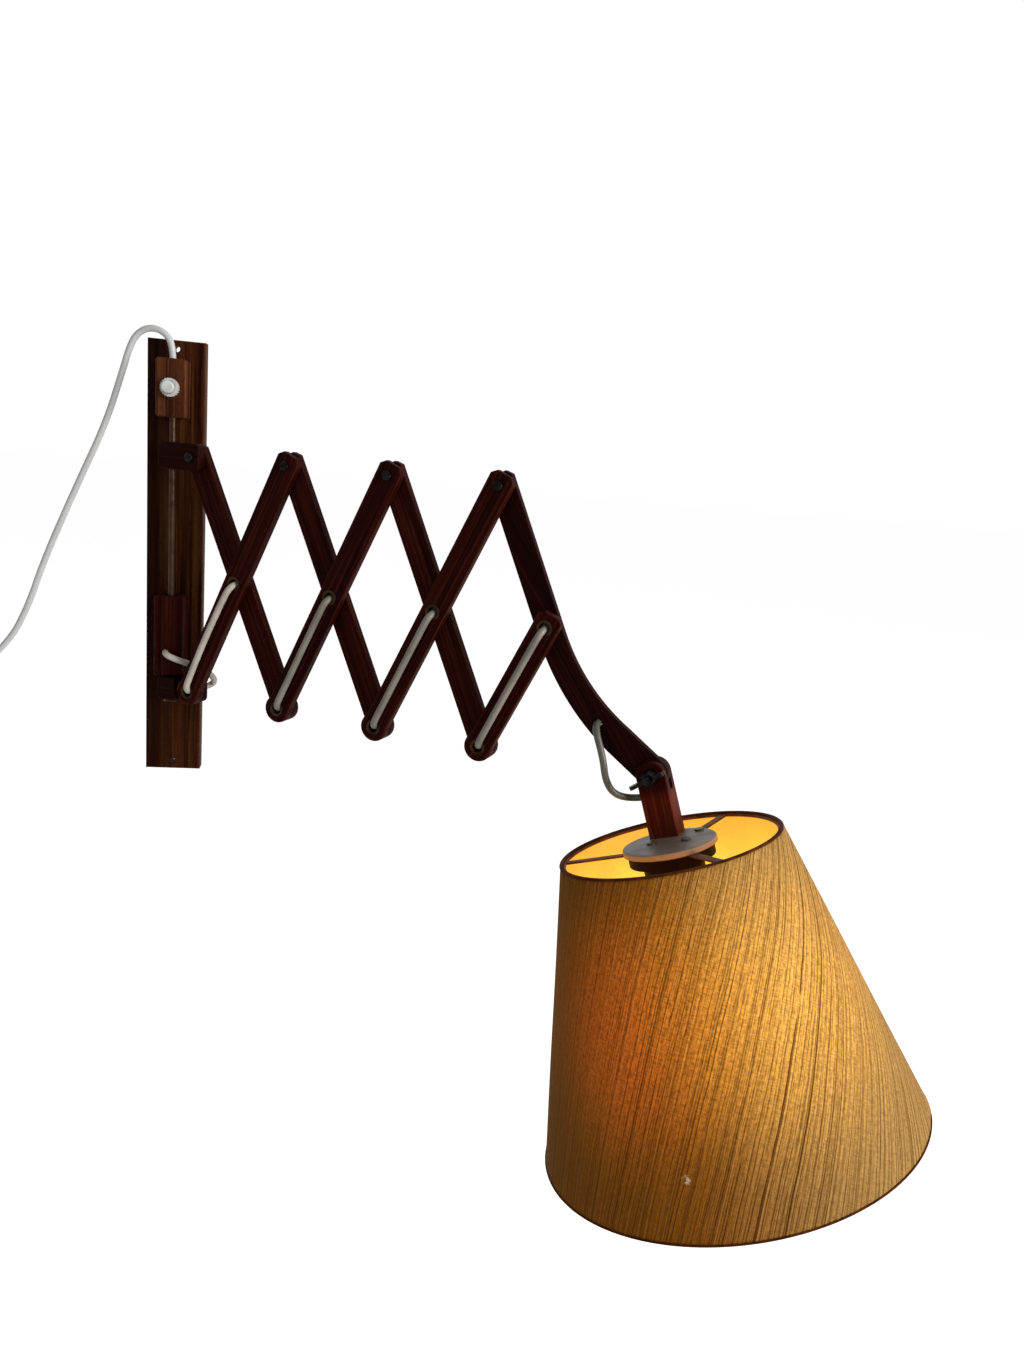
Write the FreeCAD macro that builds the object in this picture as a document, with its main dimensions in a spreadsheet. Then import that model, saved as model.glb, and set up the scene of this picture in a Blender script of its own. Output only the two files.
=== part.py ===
"""Accordion wall lamp: a teak board, a scissor arm that swings on a steel rod, and a fabric shade.

Row frame: the origin is the middle of the board's back, +Z up, +X to the right, -Y out of the wall.
Arm frame: x runs outwards along the arm, y up, z towards the viewer; it turns about the steel rod.
Head frame: the arm frame moved to the head's bolt and tilted, y along the head block.
"""
import FreeCAD, Part
import math
import os
import re

V = FreeCAD.Vector
Turn = FreeCAD.Rotation
Place = FreeCAD.Placement

doc = FreeCAD.newDocument("accordion_wall_lamp")
sheet = doc.addObject("Spreadsheet::Sheet", "Sizes")

# Driving dimensions, in millimetres and degrees.
SIZES = {
    # wall board and the two fixed blocks on it
    "plate_width": 40.5, "plate_height": 322, "plate_thick": 12.5, "board_ease": 1.2,
    "screw_hole_r": 2.3, "screw_hole_inset": 6,
    "block_width": 21, "block_shift": -0.8, "block_depth": 20, "block_ease": 2,
    "switch_block_height": 40.5, "switch_block_drop": 14,
    "lower_block_height": 60, "slider_clear": 17.1,
    "block_screw_x": 5.5, "block_screw_sunk": 0.5, "block_screw_long": 20.5, "pilot_depth": 9,
    "switch_screw_spread": 13, "lower_screw_spread": 22, "sink_gap": 0.2,
    # steel rod
    "rod_r": 2.25, "rod_out": 25.9, "rod_socket": 8, "rod_lower_socket": 25,
    "pivot_pin_grip": 13, "pivot_pin_head_r": 4.8, "pivot_pin_head_thick": 2.4,
    # swivel and slider on the rod
    "swivel_height": 17.4, "swivel_gap": 0.8, "pivot_out": 20.8, "slider_height": 19,
    "block_left": 6.5, "block_right": 9.5, "tongue_thick": 7, "corner_round": 4,
    "slider_reach": 28.5, "swivel_reach": 28.5,
    # scissor bars
    "bar_half": 94.3, "bar_width": 17.5, "bar_thick": 6, "layer_gap": 1, "bar_top_end": 8.5,
    "bar_chamfer": 3.5, "lobe_r": 10, "bar_ease": 0.8, "bar_angle": 65.35, "arm_yaw": 30,
    "half_bar_end": 10,
    # hollow pivots that the cord runs through, and the screwed pivots at the top
    "tube_r": 4, "tube_bore_r": 2.75, "tube_flange_r": 5.3, "tube_flange_thick": 0.6,
    "tube_flare_r": 3.5, "tube_flare_long": 1.6, "collar_r": 6.5, "collar_gap": 0.05, "run_gap": 0.05,
    "screw_r": 2, "screw_head_r": 3.4, "screw_head_thick": 2, "screw_dome": 1.2, "screw_tail": 1,
    "screw_slot_width": 0.8, "screw_slot_depth": 0.9, "nut_r": 3.6, "nut_thick": 2.4, "screw_turn": 20,
    # curved arm and the head
    "arm_bend_share": 0.5037, "arm_end_share": 0.7572, "arm_turn": 30.3, "arm_bend_r": 150,
    "arm_end_width": 20, "arm_tip_r": 10.2, "arm_cord_hole_back": 47.5, "arm_cord_hole_r": 2.6,
    "head_tilt": 19.5, "head_width": 19, "head_below": 39.5, "head_spare": 3, "head_ease": 1,
    "slot_gap": 0.3, "slot_below": 11, "head_cord_below": 14.4, "head_drop_x": 3, "head_lead_in": 2,
    "head_entry_r": 2.6, "head_drop_r": 3.7,
    "bolt_r": 2.5, "bolt_head_r": 6, "bolt_head_thick": 2.6, "bolt_head_ease": 1.5, "bolt_front": 17,
    "wing_hub_r": 5.5, "wing_hub_top_r": 4, "wing_hub_long": 8, "wing_span": 25, "wing_thick": 2.4,
    "wing_foot": 1.5, "wing_ear_r": 3.4, "wing_ear_rise": 8.5, "wing_angle": 16,
    # cover disc, cup, holder, bulb
    "disc_x": 5.5, "disc_out": 19.5, "shade_lean": 2.3, "disc_r": 29.5, "disc_thick": 3.5,
    "disc_ease": 1, "disc_cord_hole_r": 6.3, "cup_r": 27, "cup_thick": 6, "cup_wall": 2,
    "cup_neck_r": 13, "disc_screw_r": 1.6, "disc_screw_head_r": 2.9, "disc_screw_head_thick": 1.2,
    "disc_screw_x": 11, "disc_screw_y": -1.5, "side_screw_x": 15.4, "side_screw_y": 19.3,
    "holder_r": 19, "holder_long": 42, "holder_wall": 2.5, "holder_base": 12,
    "bulb_r": 30, "bulb_neck_r": 13.5, "bulb_cap_long": 24, "bulb_long": 106, "bulb_seat": 13,
    "bulb_wall": 1.2,
    # shade
    "shade_drop": 0.9, "shade_top_r": 69.1, "shade_bottom_r": 118.6, "shade_height": 182,
    "cover_thick": 1, "liner_thick": 0.5, "ring_wire_r": 1, "ring_gap": 0.25, "ring_inset": 2,
    "trim_tall": 5, "trim_thick": 0.7, "trim_gap": 0.05,
    "spider_ring_r": 27, "spider_ring_in": 22.6, "spider_thick": 1.2, "spider_width": 5,
    "spider_gap": 0.03, "spoke_turn": -50, "spoke_root": 1,
    # push switch
    "switch_r": 6.5, "switch_long": 11, "switch_seat": 1, "switch_room": 0.5,
    "switch_nut_r": 6.4, "switch_nut_long": 5, "knurl_r": 0.45,
    "switch_collar_r": 5.2, "switch_collar_long": 3, "button_r": 4.4, "button_out": 13,
    "button_root": 4, "button_bore_depth": 6.5, "button_gap": 0.3, "button_ease": 1.2,
    # cords
    "cord_r": 2.3, "cord_rise": 3.7, "cord_bow": 2, "cord_gap": 0.2, "lead_x": -3.2,
    "lead_exit_drop": 42, "lead_exit_depth": 5, "groove_depth": 5.4, "lead_hole_r": 3.3,
    "lead_run_depth": 6.1,
    "lead_tail": 11,
    "coil_inner_r": 18, "coil_outer_r": 39, "coil_layer": 5.2, "coil_half_turns": 14.22,
    "coil_lead_in": 4.6, "coil_lead_out": 28,
    # plug
    "plug_long": 34, "plug_width": 25, "plug_thick": 13.5, "plug_nose": 10, "plug_nose_at": 6,
    "plug_shoulder_at": 14, "plug_tail_r": 3.3, "plug_ease": 2,
    "plug_pin_r": 2, "plug_pin_long": 19, "plug_pin_pitch": 19,
}
# Derived: with longer bars the lower block goes down the board, so that the slider keeps clear of the
# switch block, and the curved arm grows as the bars do.
DERIVED = {
    "bar_rise": "2 * bar_half * sin(bar_angle)",
    "arm_bend_out": "bar_half * arm_bend_share",
    "arm_end_out": "bar_half * arm_end_share",
    "lower_block_top": "plate_height / 2 - switch_block_drop - switch_block_height - slider_clear"
                       " - slider_height / 2 - bar_rise + swivel_height / 2 + swivel_gap + lower_block_height",
}
NAMED = SIZES | {name: "=" + formula for name, formula in DERIVED.items()}
for row, (name, value) in enumerate(NAMED.items(), 1):
    sheet.set("A%d" % row, name)
    sheet.set("B%d" % row, str(value))
    sheet.setAlias("B%d" % row, name)
doc.recompute()


class Values:
    """Reads a driving dimension from the sheet by its name."""
    def __getattr__(self, name):
        return float(sheet.get(name))


S = Values()


def bound(text):
    """An expression in the sheet's names, such as "plate_width / 2", as the document reads it."""
    return re.sub(r"[a-z_]+[a-z_0-9]*", lambda m: "Sizes." + m[0] if m[0] in NAMED else m[0], str(text))


def bind(obj, **expressions):
    for prop, text in expressions.items():
        obj.setExpression(prop.replace("__", "."), bound(text))
    return obj


def box(name, low, spans):
    """A block from its low corner and its three spans, all as expressions."""
    obj = bind(doc.addObject("Part::Box", name), Length=spans[0], Width=spans[1], Height=spans[2])
    return bind(obj, Placement__Base__x=low[0], Placement__Base__y=low[1], Placement__Base__z=low[2])


AXES = {"x": Turn(V(0, 1, 0), 90), "y": Turn(V(1, 0, 0), -90), "z": Turn(), "out": Turn(V(1, 0, 0), 90)}


def cylinder(name, radius, height, low, axis="z"):
    """A round bar that starts at low and runs along an axis."""
    obj = bind(doc.addObject("Part::Cylinder", name), Radius=radius, Height=height)
    obj.Placement = Place(V(), AXES[axis])
    return bind(obj, Placement__Base__x=low[0], Placement__Base__y=low[1], Placement__Base__z=low[2])


def cone(name, low_r, high_r, height, low):
    obj = bind(doc.addObject("Part::Cone", name), Radius1=low_r, Radius2=high_r, Height=height)
    return bind(obj, Placement__Base__x=low[0], Placement__Base__y=low[1], Placement__Base__z=low[2])


def fuse(name, *shapes):
    obj = doc.addObject("Part::MultiFuse", name)
    obj.Shapes = list(shapes)
    return obj


def cut(name, base, *tools):
    """The base with one or more tools taken away."""
    obj = doc.addObject("Part::Cut", name)
    obj.Base = base
    obj.Tool = tools[0] if len(tools) == 1 else fuse(name + "_tools", *tools)
    return obj


def group(name, *shapes):
    """Like pieces, or a screw with its nut, that share a node as separate solids."""
    obj = doc.addObject("Part::Compound", name)
    obj.Links = list(shapes)
    return obj


def eased(name, base, radius, wanted=lambda edge: True):
    """Rounds the wanted edges of a base."""
    doc.recompute()
    obj = doc.addObject("Part::Fillet", name)
    obj.Base = base
    picked = [i for i, edge in enumerate(base.Shape.Edges, 1) if wanted(edge)]
    obj.Edges = [(i, radius, radius) for i in picked]
    return obj


def origin_plane(body, role):
    return [o for o in body.Origin.OriginFeatures if o.Role == role][0]


def padded(name, outline, thick, ease):
    """A flat wooden piece: its outline padded to both sides of XY, with the rims of both faces eased."""
    body = doc.addObject("PartDesign::Body", name)
    sketch = body.newObject("Sketcher::SketchObject", name + "_outline")
    sketch.AttachmentSupport = [(origin_plane(body, "XY_Plane"), "")]
    sketch.MapMode = "FlatFace"
    for edge in outline:
        sketch.addGeometry(edge, False)
    pad = body.newObject("PartDesign::Pad", name + "_pad")
    pad.Profile = sketch
    pad.SideType = "Symmetric"
    bind(pad, Length=thick)
    doc.recompute()
    rims = ["Edge%d" % i for i, e in enumerate(pad.Shape.Edges, 1) if e.BoundBox.ZLength < 1e-6]
    fillet = body.newObject("PartDesign::Fillet", name + "_rims")
    fillet.Base = (pad, rims)
    bind(fillet, Radius=ease)
    return body


def polygon(corners):
    return [Part.LineSegment(a, b) for a, b in zip(corners, corners[1:] + corners[:1])]


def arc_edge(centre, radius, start, end):
    """An arc between two angles in degrees, anticlockwise."""
    circle = Part.Circle(centre, V(0, 0, 1), radius)
    return Part.ArcOfCircle(circle, math.radians(start), math.radians(end))


def round_box(x0, x1, y0, y1, r):
    """A rectangle's outline with round corners."""
    return [
        Part.LineSegment(V(x0 + r, y0, 0), V(x1 - r, y0, 0)), arc_edge(V(x1 - r, y0 + r, 0), r, 270, 360),
        Part.LineSegment(V(x1, y0 + r, 0), V(x1, y1 - r, 0)), arc_edge(V(x1 - r, y1 - r, 0), r, 0, 90),
        Part.LineSegment(V(x1 - r, y1, 0), V(x0 + r, y1, 0)), arc_edge(V(x0 + r, y1 - r, 0), r, 90, 180),
        Part.LineSegment(V(x0, y1 - r, 0), V(x0, y0 + r, 0)), arc_edge(V(x0 + r, y0 + r, 0), r, 180, 270),
    ]


PIECES = []


def piece(obj, label, place=Place()):
    """Names a finished sub-part and puts it in its place."""
    obj.Label = label
    obj.Placement = place
    PIECES.append((obj, label))
    return obj


def shape_piece(label, shape, place=Place()):
    obj = doc.addObject("Part::Feature", label)
    obj.Shape = shape
    return piece(obj, label, place)


# ---- where the joints are -------------------------------------------------------------------------

layer = S.layer_gap / 2                             # inner face of either layer of bars
layer_mid = layer + S.bar_thick / 2                 # middle of a bar's thickness
bar_face = layer + S.bar_thick                      # outer face of a bar
lower_block_low = S.lower_block_top - S.lower_block_height
pivot_low = lower_block_low - S.swivel_gap - S.swivel_height / 2
cell = 2 * S.bar_half * math.cos(math.radians(S.bar_angle))
yaw = math.radians(S.arm_yaw)

arm_axes = FreeCAD.Matrix(math.cos(yaw), 0, -math.sin(yaw), 0,
                          -math.sin(yaw), 0, -math.cos(yaw), -S.rod_out,
                          0, 1, 0, 0, 0, 0, 0, 1)
ARM = Place(arm_axes)


def low_pivot(i):
    return V(S.pivot_out + i * cell, pivot_low, 0)


def crossing(i):
    return V(S.pivot_out + (i + 0.5) * cell, pivot_low + S.bar_rise / 2, 0)


def high_pivot(i):
    return V(S.pivot_out + i * cell, pivot_low + S.bar_rise, 0)


def in_arm(point, angle=0, out=0):
    """A place in the arm, turned in the arm's plane and moved towards the viewer by out."""
    return ARM.multiply(Place(V(point.x, point.y, out), Turn(V(0, 0, 1), angle)))


# the curved arm's middle line: straight down from the top pivot, one bend, straight to the head's bolt
down_angle = -S.bar_angle
end_angle = down_angle + S.arm_turn
down_way = V(math.cos(math.radians(down_angle)), math.sin(math.radians(down_angle)), 0)
end_way = V(math.cos(math.radians(end_angle)), math.sin(math.radians(end_angle)), 0)
bend_corner = crossing(3) + down_way * S.arm_bend_out
head_pivot = bend_corner + end_way * S.arm_end_out
HEAD = ARM.multiply(Place(head_pivot, Turn(V(0, 0, 1), S.head_tilt)))
# shade frame: z up along the shade's axis, the origin on top of the cover disc
SHADE = HEAD.multiply(Place(V(S.disc_x, -S.head_below, S.disc_out - layer_mid),
                            Turn(V(1, 0, 0), -90 - S.shade_lean)))

# ---- wall board -----------------------------------------------------------------------------------


def wall_plate():
    half_w, half_h = S.plate_width / 2, S.plate_height / 2
    board = padded("board", polygon([V(-half_w, -half_h, 0), V(half_w, -half_h, 0),
                                     V(half_w, half_h, 0), V(-half_w, half_h, 0)]),
                   "plate_thick", "board_ease")
    hole_z = "(plate_height / 2 - screw_hole_inset)"
    front = "plate_thick / 2"
    low = cylinder("wall_screw_low", "screw_hole_r", "plate_thick * 2", ("0", "-" + hole_z, "-plate_thick"))
    high = cylinder("wall_screw_high", "screw_hole_r", "plate_thick * 2", ("0", hole_z, "-plate_thick"))
    # the board's back is at z = -thick / 2 here; the groove for the hidden lead is cut from it
    switch_y = "(plate_height / 2 - switch_block_drop - switch_block_height / 2)"
    exit_y = "(lower_block_top - lead_exit_drop)"
    groove_r = "(cord_r + cord_gap)"
    groove = box("lead_groove", ("lead_x - " + groove_r, exit_y + " - " + groove_r, "-" + front),
                 (groove_r + " * 2", switch_y + " - " + exit_y + " + 2 * " + groove_r, "groove_depth"))
    holes = [cylinder("lead_hole_%d" % i, "lead_hole_r", "plate_thick * 2", ("lead_x", y, "-plate_thick"))
             for i, y in enumerate((switch_y, exit_y))]
    screws = [cylinder("block_screw_hole_%d" % i, "screw_r + run_gap", "plate_thick * 2",
                       ("block_screw_x", z, "-plate_thick")) for i, z in enumerate(block_screw_heights())]
    sinks = [cylinder("block_screw_sink_%d" % i, "screw_head_r + sink_gap",
                      "screw_head_thick + block_screw_sunk", ("block_screw_x", z, "-" + front))
             for i, z in enumerate(block_screw_heights())]
    drilled = cut("drilled_board", board, low, high, groove, *holes, *screws, *sinks)
    piece(drilled, "wall_plate", Place(V(0, -S.plate_thick / 2, 0), Turn(V(1, 0, 0), 90)))


SWITCH_TOP = "(plate_height / 2 - switch_block_drop)"
SWITCH_MID = "(plate_height / 2 - switch_block_drop - switch_block_height / 2)"
LOWER_MID = "(lower_block_top - lower_block_height / 2)"


def block_screw_heights():
    """Heights of the four screws that hold the two blocks from behind, as expressions."""
    return [SWITCH_MID + " + switch_screw_spread", SWITCH_MID + " - switch_screw_spread",
            LOWER_MID + " + lower_screw_spread", LOWER_MID + " - lower_screw_spread"]


def out_of_wall(name, radius, height, x, start, z):
    """A round bar that starts start in front of the wall and runs out of it."""
    return cylinder(name, radius, height, (x, "-" + start, z), "out")


def block_screws():
    """Countersunk wood screws, head in the board's back, point in the block."""
    made = []
    for i, height in enumerate(block_screw_heights()):
        head = out_of_wall("wood_screw_head_%d" % i, "screw_head_r", "screw_head_thick",
                           "block_screw_x", "block_screw_sunk", height)
        shank = out_of_wall("wood_screw_shank_%d" % i, "screw_r", "block_screw_long",
                            "block_screw_x", "block_screw_sunk", height)
        made.append(fuse("wood_screw_%d" % i, head, shank))
    piece(group("wood_screws", *made), "block_screws")


def pilot_holes(name, heights):
    """Holes for the wood screws in a block's back."""
    return [out_of_wall("%s_pilot_%d" % (name, i), "screw_r + run_gap", "pilot_depth",
                        "block_screw_x", "plate_thick", z) for i, z in enumerate(heights)]


def fixed_block(name, height, top, tools):
    """A teak block screwed to the board's front, with the edges of its front face eased."""
    low = ("block_shift - block_width / 2", "-plate_thick - block_depth", "%s - %s" % (top, height))
    block = box(name + "_block", low, ("block_width", "block_depth", height))
    front = -S.plate_thick - S.block_depth
    rounded = eased(name + "_eased", block, S.block_ease, lambda e: e.BoundBox.YMin < front + 1e-6)
    return cut(name + "_cut", rounded, *tools)


def switch_block():
    """Upper block: bored for the push switch, the cord out of its top and the rod's upper end."""
    switch_hole = cylinder("switch_hole", "switch_collar_r", "block_depth * 2",
                           ("block_shift", "-plate_thick - block_depth * 2", SWITCH_MID), "y")
    cavity = out_of_wall("switch_cavity", "switch_r + switch_room", "switch_long + switch_seat * 2",
                         "block_shift", "plate_thick", SWITCH_MID)
    cord_hole = cylinder("cord_top_hole", "cord_r + cord_gap", "switch_block_height",
                         ("block_shift", "-plate_thick - block_depth / 2", SWITCH_MID))
    rod_hole = cylinder("switch_rod_hole", "rod_r + run_gap", "rod_socket",
                        ("0", "-rod_out", SWITCH_TOP + " - switch_block_height"))
    tools = [switch_hole, cavity, cord_hole, rod_hole] + pilot_holes("switch", block_screw_heights()[:2])
    piece(fixed_block("switch", "switch_block_height", SWITCH_TOP, tools), "switch_block")


def lower_block():
    """Lower block: sockets for the rod above and the swivel's pin below, and the cord's way out."""
    rod_hole = cylinder("lower_rod_hole", "rod_r + run_gap", "rod_lower_socket * 2",
                        ("0", "-rod_out", "lower_block_top - rod_lower_socket"))
    pin_hole = cylinder("pivot_pin_hole", "rod_r + run_gap", "pivot_pin_grip * 2",
                        ("0", "-rod_out", "lower_block_top - lower_block_height - pivot_pin_grip"))
    lead_hole = cylinder("lower_lead_hole", "cord_r + cord_gap", "block_depth * 2",
                         ("lead_x", "-plate_thick - block_depth * 1.5", "lower_block_top - lead_exit_drop"), "y")
    tools = [rod_hole, pin_hole, lead_hole] + pilot_holes("lower", block_screw_heights()[2:])
    piece(fixed_block("lower", "lower_block_height", "lower_block_top", tools), "lower_block")


def rod():
    """The steel rod between its sockets in the two blocks, and the headed pin that holds the swivel."""
    top = "(%s - switch_block_height + rod_socket)" % SWITCH_TOP
    low = "(lower_block_top - rod_lower_socket)"
    piece(cylinder("rod_bar", "rod_r", "%s - %s" % (top, low), ("0", "-rod_out", low)), "steel_rod")
    head_z = pivot_low - S.swivel_height / 2 - S.run_gap - S.pivot_pin_head_thick
    shank = cylinder("pin_shank", "rod_r", "pivot_pin_grip + swivel_gap + swivel_height + pivot_pin_head_thick",
                     ("0", "0", "0"))
    head = cylinder("pin_head", "pivot_pin_head_r", "pivot_pin_head_thick", ("0", "0", "0"))
    piece(fuse("pin_made", shank, head), "swivel_pin", Place(V(0, -S.rod_out, head_z), Turn()))


# ---- push switch ----------------------------------------------------------------------------------


KNURLS = 20


def push_switch():
    """Threaded switch body from inside the block, a knurled nut outside, the button in its collar."""
    mid = S.plate_height / 2 - S.switch_block_drop - S.switch_block_height / 2
    facing = Place(V(S.block_shift, 0, mid), Turn(V(1, 0, 0), 90))          # local z points out of the wall
    seat, front = "(plate_thick + switch_seat)", "(plate_thick + block_depth)"
    body = cylinder("switch_drum", "switch_r", "switch_long", ("0", "0", seat))
    neck = cylinder("switch_neck", "switch_collar_r - run_gap",
                    front + " + switch_nut_long + switch_collar_long - " + seat, ("0", "0", seat))
    bore = cylinder("button_bore", "button_r + button_gap", "block_depth", ("0", "0", front + " - button_bore_depth"))
    piece(cut("switch_made", fuse("switch_solid", body, neck), bore), "switch_body", facing)
    ring = cylinder("nut_ring", "switch_nut_r", "switch_nut_long", ("0", "0", front))
    hole = cylinder("nut_hole", "switch_collar_r", "switch_nut_long", ("0", "0", front))
    teeth = []
    for i in range(KNURLS):
        across, up = "cos(%g)" % (360 / KNURLS * i), "sin(%g)" % (360 / KNURLS * i)
        teeth.append(cylinder("knurl_%d" % i, "knurl_r", "switch_nut_long",
                              ("switch_nut_r * " + across, "switch_nut_r * " + up, front)))
    piece(cut("knurled_nut", ring, hole, *teeth), "switch_nut", facing)
    stem = cylinder("button_stem", "button_r", "button_out + button_root", ("0", "0", front + " - button_root"))
    domed = eased("button_domed", stem, S.button_ease,
                  lambda e: e.CenterOfMass.z > S.plate_thick + S.block_depth)
    piece(domed, "switch_button", facing)


# ---- swivel and slider ----------------------------------------------------------------------------


def rod_block(name, height, reach, tongue_front):
    """A block on the rod whose outer part is thinned to a tongue, in the front or the back layer."""
    blank = padded(name + "_blank", round_box(-S.block_left, reach, -height / 2, height / 2, S.corner_round),
                   "tongue_thick * 2 + layer_gap", "bar_ease")
    low = "-tongue_thick * 2" if tongue_front else "-layer_gap / 2"
    notch = box(name + "_notch", ("block_right", "-swivel_height", low),
                ("slider_reach * 2", "swivel_height * 2", "tongue_thick * 2 + layer_gap / 2"))
    bore = cylinder(name + "_bore", "rod_r + run_gap", "swivel_height * 2", ("0", "-swivel_height", "0"), "y")
    pin = "screw_r + run_gap" if tongue_front else "tube_r + run_gap"
    hole = cylinder(name + "_pin", pin, "tongue_thick * 4", ("pivot_out", "0", "-tongue_thick * 2"))
    return cut(name + "_cut", blank, notch, bore, hole)


def slider():
    place = in_arm(V(0, pivot_low + S.bar_rise, 0))
    piece(rod_block("slider", S.slider_height, S.slider_reach, True), "upper_slider", place)


def swivel():
    place = in_arm(V(0, pivot_low, 0))
    piece(rod_block("swivel", S.swivel_height, S.swivel_reach, False), "lower_swivel", place)


# ---- pivots ---------------------------------------------------------------------------------------


def hollow_pivot(label, point, angle, back="bar_thick"):
    """A flared brass tube through both layers, with a collar between them; the cord runs inside."""
    back_face = "(layer_gap / 2 + %s + run_gap)" % back
    front_face = "(layer_gap / 2 + bar_thick + run_gap)"
    tube = cylinder(label + "_tube", "tube_r", back_face + " + " + front_face, ("0", "0", "-" + back_face))
    front = cylinder(label + "_front", "tube_flange_r", "tube_flange_thick", ("0", "0", front_face))
    rear = cylinder(label + "_rear", "tube_flange_r", "tube_flange_thick",
                    ("0", "0", "-%s - tube_flange_thick" % back_face))
    collar = cylinder(label + "_collar", "collar_r", "layer_gap - collar_gap * 2",
                      ("0", "0", "-layer_gap / 2 + collar_gap"))
    solid = fuse(label + "_solid", tube, front, rear, collar)
    bore = cylinder(label + "_bore", "tube_bore_r", "bar_thick * 4", ("0", "0", "-bar_thick * 2"))
    mouth = cone(label + "_mouth", "tube_bore_r", "tube_flare_r", "tube_flare_long",
                 ("0", "0", front_face + " + tube_flange_thick - tube_flare_long"))
    rear_mouth = cone(label + "_rear_mouth", "tube_flare_r", "tube_bore_r", "tube_flare_long",
                      ("0", "0", "-%s - tube_flange_thick" % back_face))
    piece(cut(label + "_cut", solid, bore, mouth, rear_mouth), label, in_arm(point, angle))


def pivot_screw(label, point, front="bar_thick"):
    """A round-headed screw in front, a spacer washer between the layers and a hexagon nut behind."""
    front_face = "(layer_gap / 2 + %s + run_gap)" % front
    back_face = "(layer_gap / 2 + bar_thick + run_gap)"
    shank = cylinder(label + "_shank", "screw_r", "%s + %s + nut_thick + screw_tail" % (front_face, back_face),
                     ("0", "0", "-%s - nut_thick - screw_tail" % back_face))
    head = cylinder(label + "_head", "screw_head_r", "screw_head_thick", ("0", "0", front_face))
    domed = eased(label + "_dome", head, S.screw_dome,
                  lambda e: e.CenterOfMass.z > S.bar_thick + S.screw_head_thick)
    slot = box(label + "_slot", ("-screw_head_r", "-screw_slot_width / 2",
                                 front_face + " + screw_head_thick - screw_slot_depth"),
               ("screw_head_r * 2", "screw_slot_width", "screw_slot_depth * 2"))
    screw = cut(label + "_screw", fuse(label + "_solid", shank, domed), slot)
    ring = cylinder(label + "_ring", "collar_r", "layer_gap - collar_gap * 2",
                    ("0", "0", "-layer_gap / 2 + collar_gap"))
    ring_hole = cylinder(label + "_ring_hole", "screw_r + run_gap", "layer_gap",
                         ("0", "0", "-layer_gap / 2"))
    nut = doc.addObject("Part::Prism", label + "_nut_blank")
    nut.Polygon = 6
    bind(nut, Circumradius="nut_r", Height="nut_thick")
    bind(nut, Placement__Base__z="-%s - nut_thick" % back_face)
    nut_hole = cylinder(label + "_nut_hole", "screw_r", "nut_thick * 3", ("0", "0", "-%s * 2" % back_face))
    made = group(label + "_set", screw, cut(label + "_washer", ring, ring_hole),
                 cut(label + "_nut", nut, nut_hole))
    piece(made, label, in_arm(point, S.screw_turn))


# ---- scissor bars ---------------------------------------------------------------------------------


def bar_outline(length, top_end):
    """From a round lobe at the lower pivot to a flat top with cut corners; x runs up the bar."""
    half, lobe, bevel = S.bar_width / 2, S.lobe_r, S.bar_chamfer
    top = length + top_end
    neck = math.sqrt(max(lobe ** 2 - half ** 2, 0))
    turn = math.degrees(math.atan2(half, neck))
    corners = [V(neck, -half, 0), V(top - bevel, -half, 0), V(top, -half + bevel, 0),
               V(top, half - bevel, 0), V(top - bevel, half, 0), V(neck, half, 0)]
    sides = [Part.LineSegment(a, b) for a, b in zip(corners, corners[1:])]
    return sides + [arc_edge(V(), lobe, turn, 360 - turn)]


def bar(label, point, angle, side, length, top_end, drillings):
    """A teak bar in the front (side 1) or back (side -1) layer, drilled at (distance, radius) pairs."""
    blank = padded(label + "_blank", bar_outline(length, top_end), "bar_thick", "bar_ease")
    holes = [cylinder("%s_hole_%d" % (label, i), radius, "bar_thick * 3", (along, "0", "-bar_thick * 1.5"))
             for i, (along, radius) in enumerate(drillings)]
    piece(cut(label + "_cut", blank, *holes), label, in_arm(point, angle, side * layer_mid))


TUBE_HOLE = "tube_r + run_gap"
SCREW_HOLE = "screw_r + run_gap"


def front_bar(i):
    bar("bar_front_%d" % i, low_pivot(i), S.bar_angle, 1, 2 * S.bar_half, S.bar_top_end,
        [("0", TUBE_HOLE), ("bar_half", TUBE_HOLE), ("bar_half * 2", SCREW_HOLE)])


def back_bar(i):
    bar("bar_back_%d" % i, low_pivot(i + 1), 180 - S.bar_angle, -1, 2 * S.bar_half, S.bar_top_end,
        [("0", TUBE_HOLE), ("bar_half", TUBE_HOLE), ("bar_half * 2", SCREW_HOLE)])


def half_bar():
    bar("bar_front_3", low_pivot(3), S.bar_angle, 1, S.bar_half, S.half_bar_end,
        [("0", TUBE_HOLE), ("bar_half", TUBE_HOLE)])


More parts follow.
